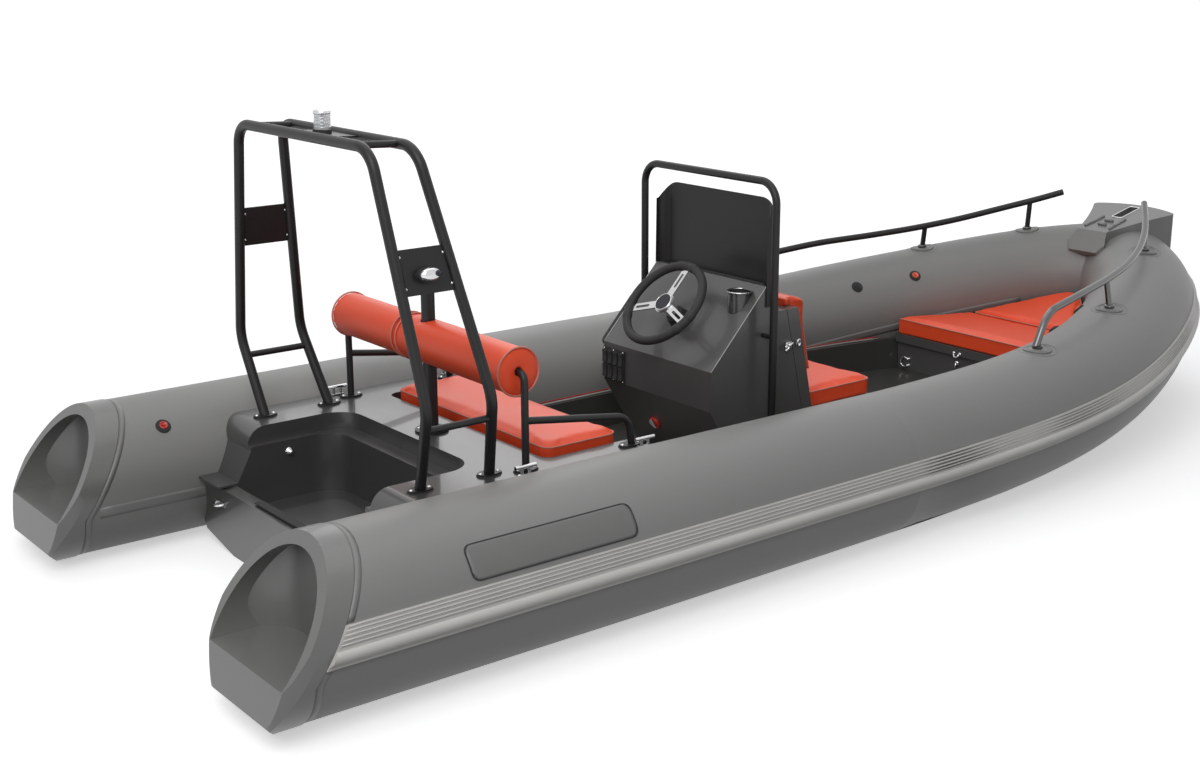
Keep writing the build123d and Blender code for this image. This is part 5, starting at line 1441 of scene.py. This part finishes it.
@dataclass
class HelmDetails:
    """Wheel, dash, screen and seat module fittings."""

    hub: Vector = field(default_factory=lambda: Vector((-0.046, 0, 0.803)))
    normal: Vector = field(default_factory=lambda: Vector((-0.7285, 0, 0.6851)))
    rim_r: float = 0.181

    def build(self) -> list[bpy.types.Object]:
        """Make the helm's small fittings.

        Returns:
            The pieces.
        """
        self._screws()
        return [self._grips(), self._hub_ring(), self._screen_gasket(), self._rockers(),
                self._isolator(), *self._latch(), self._seams(), self._cup_ring()]

    def _disc(self, angle: float, radius: float) -> Vector:
        """Point on the wheel's plane at an angle and radius."""
        up = self.normal.cross(-PORT)
        return self.hub - PORT * (radius * math.cos(angle)) + up * (radius * math.sin(angle))

    def _grips(self) -> bpy.types.Object:
        """Thicker grips on the rim either side of each spoke.

        Returns:
            The piece.
        """
        mesh = bmesh.new()
        for spoke in (90.0, 200.0, 340.0):
            for start, end in ((spoke - 17, spoke - 6), (spoke + 6, spoke + 17)):
                rings = []
                for share in steps(0, 1, 14):
                    radius = 0.0178 + 0.0024 * math.sin(math.pi * share) ** 0.6
                    centre = self._disc(math.radians(start + (end - start) * share), self.rim_r)
                    out = (centre - self.hub).normalized()
                    rings.append(ellipse(centre, out * radius, self.normal * radius, 16))
                Shapes.loft(mesh, rings)
        return Shapes.from_mesh("wheel_grips", mesh, Finishes.SOFT, "steering_wheel")

    def _hub_ring(self) -> bpy.types.Object:
        """Bright bezel round the centre cap.

        Returns:
            The piece.
        """
        mesh = bmesh.new()
        Shapes.turned(mesh, self.hub, self.normal,
                      [(0.0365, 0.0002), (0.041, 0.004), (0.041, 0.0085), (0.0385, 0.0105),
                       (0.0362, 0.0098), (0.0362, 0.002)], 48, ring=True)
        return Shapes.from_mesh("wheel_bezel", mesh, Finishes.STEEL, "steering_wheel")

    @staticmethod
    def _screen_gasket() -> bpy.types.Object:
        """Black rubber strip along the screen's foot.

        Returns:
            The piece.
        """
        mesh = bmesh.new()
        line = [Vector((0.230, y, 0.8875)) for y in steps(-0.285, 0.285, 12)]
        Shapes.rod(mesh, line, 0.006, 8)
        return Shapes.from_mesh("screen_gasket", mesh, Finishes.RUBBER, "hull")

    @staticmethod
    def _screws() -> None:
        """Screws of the switch panel."""
        for y in (0.200, 0.262, 0.324):
            for z in (0.440, 0.564):
                FASTENERS.add("hull", Vector((-0.0984, y, z)), AFT, 0.0028)

    @staticmethod
    def _rockers() -> bpy.types.Object:
        """Curved faces of the rocker switches.

        Returns:
            The piece.
        """
        half, reach, base = 0.0118, 0.0245, -0.1035
        mesh = bmesh.new()
        for row in (0.0309, -0.0309):
            for column in range(4):
                y = 0.262 + (column - 1.5) * 0.0345
                z = 0.502 + row
                rings = []
                for share in steps(-1, 1, 9):
                    bow = -0.1055 - 0.0035 * share ** 2
                    rings.append([Vector((x, y + way * half, z + share * reach)) for x, way in
                                  ((bow, -1), (bow, 1), (base, 1), (base, -1))])
                Shapes.loft(mesh, rings)
        return Shapes.from_mesh("rocker_faces", mesh, Finishes.RUBBER, "hull", smooth=False)

    @staticmethod
    def _isolator() -> bpy.types.Object:
        """White half of the battery switch.

        Returns:
            The piece.
        """
        spots = [v.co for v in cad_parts["battery_switch"].data.vertices]
        axis = Vector((-0.8575, 0, -0.5145)).normalized()
        up = PORT.cross(axis)
        centre = sum(spots, Vector()) / len(spots)
        base = centre + axis * (max(spot.dot(axis) for spot in spots) - centre.dot(axis) + 0.0002)
        mesh = bmesh.new()
        radius, thick = 0.024, 0.0016
        outline = [base + PORT * (radius * math.cos(a)) + up * (radius * math.sin(a))
                   for a in steps(-math.pi / 2, math.pi / 2, 20)]
        Shapes.loft(mesh, [outline, [spot + axis * thick for spot in outline]])
        return Shapes.from_mesh("isolator_half", mesh, Finishes.WHITE, "hull", smooth=False)

    @staticmethod
    def _latch() -> list[bpy.types.Object]:
        """Wing, loop and plates of the side latch: the lever's side stays on the console.

        Returns:
            The pieces.
        """
        fixed, moving = bmesh.new(), bmesh.new()
        y = -0.3462
        low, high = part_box("console_latch")
        centre = Vector(((low.x + high.x) / 2, y, (low.z + high.z) / 2))
        out = -PORT
        Shapes.turned(fixed, centre, out,
                      [(0.009, 0), (0.009, 0.009), (0.006, 0.011), (0.001, 0.011)], 16)
        Shapes.rod(fixed, [centre + Vector((dx, -0.006, dz)) for dx, dz in
                           ((-0.016, -0.02), (-0.01, -0.012), (0.004, 0.004), (0.016, 0.008))],
                   0.0045, 8)
        for dz in (-0.014, 0.0):
            Shapes.turned(fixed, centre + Vector((-0.020, -0.004, dz - 0.004)), out,
                          [(0.0075, 0), (0.0075, 0.004), (0.004, 0.006), (0.001, 0.006)], 14)
        low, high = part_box("module_keeper")
        centre = Vector(((low.x + high.x) / 2, y, (low.z + high.z) / 2))
        loop = ellipse(centre + Vector((0, -0.005, 0.004)), AFT * -0.008, UP * 0.013, 20)
        Shapes.rod(moving, loop, 0.0034, 8, closed=True)
        Shapes.turned(moving, centre + Vector((0, 0, -0.006)), out,
                      [(0.006, 0), (0.006, 0.005), (0.003, 0.0065), (0.001, 0.0065)], 14)
        return [Shapes.from_mesh("latch_lever", fixed, Finishes.STEEL, "hull"),
                Shapes.from_mesh("latch_hook", moving, Finishes.STEEL, "seat_module")]

    @staticmethod
    def _cup_ring() -> bpy.types.Object:
        """Bright ring round the mouth of the cup holder.

        Returns:
            The piece.
        """
        low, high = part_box("cup_holder")
        mesh = bmesh.new()
        foot = Vector(((low.x + high.x) / 2, (low.y + high.y) / 2, high.z))
        radius = (high.y - low.y) / 2 - 0.004
        Shapes.turned(mesh, foot, UP,
                      [(radius + 0.004, -0.001), (radius + 0.004, 0.0015), (radius, 0.0035),
                       (radius - 0.004, 0.0015), (radius - 0.004, -0.001)], 48, ring=True)
        return Shapes.from_mesh("cup_ring", mesh, Finishes.STEEL, "hull")

    @staticmethod
    def _seams() -> bpy.types.Object:
        """Rounded edge beads along the console's slanted dash.

        Returns:
            The piece.
        """
        mesh = bmesh.new()
        for y in (-0.3345, 0.3345):
            Shapes.rod(mesh, [Vector((-0.0897, y, 0.5903)).lerp(Vector((0.1935, y, 0.8915)), t)
                              for t in steps(0, 1, 12)], 0.0016, 6)
        return Shapes.from_mesh("dash_beads", mesh, Finishes.STRAKE, "hull")


@dataclass
class BowDetails:
    """Locker, nose step and rail fittings."""

    def build(self) -> list[bpy.types.Object]:
        """Make the bow's small fittings."""
        return [self._locker_handle(), *self._locker_latch(), self._slot_frame(), self._chock(),
                self._rail_collars()]

    @staticmethod
    def _locker_handle() -> bpy.types.Object:
        """Open ring on the locker's aft wall, with a foot at each end.

        Returns:
            The piece.
        """
        mesh = bmesh.new()
        radius, reach = 0.0235, 0.76 * math.pi
        centre = Vector((1.8615, 0.395, 0.172))

        def spot(turn: float, lift: float) -> Vector:
            """Point of the ring at a turn, lifted off the wall."""
            return centre + Vector((-lift, radius * math.cos(turn), radius * math.sin(turn)))

        turns = steps(-reach, reach, 26)
        Shapes.rod(mesh, [spot(a, 0.011 + 0.006 * math.cos(a * 0.6)) for a in turns], 0.0042, 8)
        for turn in (-reach, reach):
            Shapes.turned(mesh, spot(turn, 0), AFT,
                          [(0.0088, 0), (0.0088, 0.004), (0.0052, 0.006), (0.0052, 0.016),
                           (0.001, 0.017)], 14)
        return Shapes.from_mesh("locker_handle", mesh, Finishes.STEEL, "hull")

    @staticmethod
    def _locker_latch() -> list[bpy.types.Object]:
        """Keeper on the lid's lip, and the lever under it on the locker's wall.

        Returns:
            The pieces.
        """
        keeper, lever = bmesh.new(), bmesh.new()
        y, lip_x, wall_x = 0.066, 1.8458, 1.8618
        for dy in (-0.018, 0.018):
            Shapes.turned(keeper, Vector((lip_x, y + dy, 0.278)), AFT,
                          [(0.0095, 0), (0.0095, 0.004), (0.006, 0.0075), (0.001, 0.008)], 16)
        Shapes.rod(keeper, [Vector((lip_x - lift, y + dy, z)) for lift, dy, z in
                            ((0.006, 0.018, 0.278), (0.011, 0.008, 0.262),
                             (0.011, -0.008, 0.262), (0.006, -0.018, 0.278))], 0.004, 8)
        Shapes.turned(lever, Vector((wall_x, y + 0.006, 0.229)), AFT,
                      [(0.0135, 0), (0.0135, 0.004), (0.009, 0.012), (0.001, 0.013)], 18)
        Shapes.rod(lever, [Vector((wall_x - lift, y + dy, z)) for lift, dy, z in
                           ((0.010, 0.006, 0.232), (0.016, 0.008, 0.214),
                            (0.010, 0.012, 0.198))], 0.0052, 8)
        return [Shapes.from_mesh("lid_keeper", keeper, Finishes.STEEL, "bow_lid"),
                Shapes.from_mesh("locker_lever", lever, Finishes.STEEL, "hull")]

    @staticmethod
    def _on_step(x: float, y: float, lift: float) -> Vector:
        """Point above the sloping top of the nose step.

        Args:
            x: Distance forward.
            y: Distance to port.
            lift: Height above the step.

        Returns:
            The point.
        """
        (aft_x, aft_z), (fore_x, fore_z) = (2.750, 0.785), (3.137, 0.872)
        slope = (fore_z - aft_z) / (fore_x - aft_x)
        return Vector((x, y, aft_z + slope * (x - aft_x) + lift))

    def _slot_frame(self) -> bpy.types.Object:
        """Bright edge round the line slot.

        Returns:
            The piece.
        """
        mesh = bmesh.new()
        aft, fore, half = 2.945, 3.10, 0.029
        outline = rounded([(aft, -half), (fore, -half), (fore, half), (aft, half)], 0.012, 5)
        Shapes.rod(mesh, [self._on_step(x, y, 0.001) for x, y in outline], 0.0034, 8, closed=True)
        return Shapes.from_mesh("slot_frame", mesh, Finishes.STEEL, "hull")

    def _chock(self) -> bpy.types.Object:
        """Raised ribs aft of the slot, with two short bars between them.

        Returns:
            The piece.
        """
        mesh = bmesh.new()
        for side in SIDES:
            line = [(2.79, 0.072), (2.84, 0.066), (2.93, 0.064)]
            Shapes.rod(mesh, [self._on_step(x, side * y, 0.002) for x, y in line], 0.0075, 8)
        for x in (2.83, 2.885):
            Shapes.rod(mesh, [self._on_step(x, y, 0.004) for y in (-0.022, 0.022)], 0.008, 8)
        return Shapes.from_mesh("chock_ribs", mesh, Finishes.CAP, "hull")

    @staticmethod
    def _rail_collars() -> bpy.types.Object:
        """Rounded collars where the rail posts leave their feet.

        Returns:
            The piece.
        """
        mesh = bmesh.new()
        for side, feet in TubeDetails.feet:
            for foot in feet[1:]:
                lean = TUBES.axes(foot)[2]
                x = foot - TUBES.radius(foot) * lean.x
                base = TUBES.point(x, 90, 0.012, side)
                axis = (base - TUBES.point(x, 90, -0.1, side)).normalized()
                Shapes.turned(mesh, base, axis,
                              [(0.0215, -0.006), (0.0215, 0.0015), (0.0185, 0.004),
                               (0.0145, 0.006)], 24)
        return Shapes.from_mesh("rail_collars", mesh, Finishes.RAIL_STEEL, "hull")


class Studio:
    """Camera, lamps, floor and background."""

    @staticmethod
    def camera() -> None:
        """Put the camera where the photograph was taken from."""
        yaw, pitch, roll = math.radians(52.2095), math.radians(15.5564), math.radians(-0.2418)
        look = Vector((math.cos(pitch) * math.cos(yaw), math.cos(pitch) * math.sin(yaw),
                       -math.sin(pitch)))
        right = Vector((math.sin(yaw), -math.cos(yaw), 0))
        up = right.cross(look)
        right, up = (right * math.cos(roll) + up * math.sin(roll),
                     up * math.cos(roll) - right * math.sin(roll))
        data = bpy.data.cameras.new("camera")
        data.sensor_fit = "HORIZONTAL"
        data.sensor_width = 36
        data.lens = 49.166
        data.clip_start, data.clip_end = 0.1, 500
        camera = bpy.data.objects.new("camera", data)
        bpy.context.scene.collection.objects.link(camera)
        turn = Matrix((right, up, -look)).transposed().to_4x4()
        camera.matrix_world = Matrix.Translation((-4.17445, -4.90292, 2.22543)) @ turn
        bpy.context.scene.camera = camera

    @staticmethod
    def lamp(name: str, place: Point, target: Point, size: float, power: float) -> None:
        """Add one soft square lamp.

        Args:
            name: Name of the lamp.
            place: Where it hangs.
            target: What it points at.
            size: Length of its side.
            power: Its power in watts.
        """
        data = bpy.data.lights.new(name, "AREA")
        data.size = size
        data.energy = power
        lamp = bpy.data.objects.new(name, data)
        bpy.context.scene.collection.objects.link(lamp)
        lamp.location = place
        lamp.rotation_mode = "QUATERNION"
        lamp.rotation_quaternion = (Vector(target) - Vector(place)).to_track_quat("-Z", "Y")

    @staticmethod
    def _white_to_eye(tree: bpy.types.NodeTree, seen: bpy.types.NodeSocket,
                      other: bpy.types.NodeSocket) -> bpy.types.Node:
        """Mix two shaders so that camera, glossy and transmitted rays meet the first.

        Args:
            tree: The tree.
            seen: Shader that those rays meet.
            other: Shader that every other ray meets.

        Returns:
            The node that mixes the two.
        """
        nodes = {"rays": add_node(tree, "ShaderNodeLightPath"),
                 "most": add_node(tree, "ShaderNodeMath", operation="MAXIMUM"),
                 "both": add_node(tree, "ShaderNodeMath", operation="MAXIMUM"),
                 "mix": add_node(tree, "ShaderNodeMixShader")}
        wire(tree, nodes, "rays.Is Camera Ray > most.0", "rays.Is Glossy Ray > most.1",
             "most.0 > both.0", "rays.Is Transmission Ray > both.1", "both.0 > mix.Fac")
        tree.links.new(other, nodes["mix"].inputs[1])
        tree.links.new(seen, nodes["mix"].inputs[2])
        return nodes["mix"]

    def world(self) -> None:
        """Light the boat evenly from all round, in front of a white background."""
        world = bpy.data.worlds.new("world")
        bpy.context.scene.world = world
        world.use_nodes = True
        tree = world.node_tree
        soft = tree.nodes["Background"]
        soft.inputs["Color"].default_value = (0.93, 0.96, 1.0, 1)
        soft.inputs["Strength"].default_value = 0.22
        white = add_node(tree, "ShaderNodeBackground", {"Color": (1, 1, 1, 1), "Strength": 1.0})
        mix = self._white_to_eye(tree, white.outputs[0], soft.outputs[0])
        tree.links.new(mix.outputs[0], tree.nodes["World Output"].inputs["Surface"])

    def floor(self) -> None:
        """Lay a wide pale floor at the waterline."""
        mesh = bmesh.new()
        bmesh.ops.create_circle(mesh, cap_ends=True, radius=150, segments=64)
        data = bpy.data.meshes.new("floor")
        mesh.to_mesh(data)
        mesh.free()
        floor = bpy.data.objects.new("floor", data)
        bpy.context.scene.collection.objects.link(floor)
        coat = bpy.data.materials.new("floor")
        coat.use_nodes = True
        tree = coat.node_tree
        matt = tree.nodes["Principled BSDF"]
        for label, value in (("Base Color", (0.12, 0.12, 0.12, 1)), ("Roughness", 0.9),
                             ("Specular IOR Level", 0.0)):
            matt.inputs[label].default_value = value
        nodes = {
            "pale": add_node(tree, "ShaderNodeBsdfDiffuse", {"Color": (0.9, 0.9, 0.9, 1)}),
            "where": add_node(tree, "ShaderNodeTexCoord"),
            "away": add_node(tree, "ShaderNodeVectorMath", operation="LENGTH"),
            "lift": add_node(tree, "ShaderNodeMapRange",
                             {"From Min": 2.0, "From Max": 12.0, "To Min": 0.5, "To Max": 0.95},
                             interpolation_type="SMOOTHSTEP"),
            "glow": add_node(tree, "ShaderNodeEmission"),
            "add": add_node(tree, "ShaderNodeAddShader")}
        wire(tree, nodes, "where.Object > away.0", "away.Value > lift.Value",
             "lift.Result > glow.Strength", "pale.0 > add.0", "glow.0 > add.1")
        mix = self._white_to_eye(tree, nodes["add"].outputs[0], matt.outputs[0])
        tree.links.new(mix.outputs[0], tree.nodes["Material Output"].inputs["Surface"])
        data.materials.append(coat)

    def build(self) -> None:
        """Make the whole studio."""
        self.camera()
        self.lamp("key", (-5.0, -4.2, 5.6), (-0.2, 0, 0.2), 5.0, 285)
        self.lamp("top", (0.4, 0.8, 6.5), (0.4, 0, 0.2), 7.0, 120)
        self.lamp("far", (3.5, 6.0, 4.5), (0.6, 0, 0.4), 4.0, 60)
        self.world()
        self.floor()
        bpy.context.scene.view_settings.view_transform = "Standard"


def dress_nodes(names: Iterable[str]) -> None:
    """Give CAD nodes their procedural finishes.

    Args:
        names: The nodes to dress.
    """
    for name in names:
        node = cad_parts[name]
        finish = NODE_FINISH.get(name)
        if finish is None:
            continue
        for slot in node.material_slots:
            slot.link = "OBJECT"
            slot.material = finish.material()
        if not node.material_slots:
            node.data.materials.append(finish.material())


def main() -> None:
    """Build every sub-assembly in order and log how many pieces each made."""
    logging.basicConfig(level=logging.INFO, format="%(name)s: %(message)s")
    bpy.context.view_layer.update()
    Studio().build()
    dress_nodes(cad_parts)
    parts = {
        "tubes": TubeDetails().build(),
        "stern": SternDetails().build(),
        "helm": HelmDetails().build(),
        "bow": BowDetails().build(),
        "upholstery": Upholstery().build(),
        "fasteners": FASTENERS.build(),
    }
    for name, pieces in parts.items():
        LOG.info("%s: %d pieces", name, len(pieces))


if __name__ == "__main__":
    main()
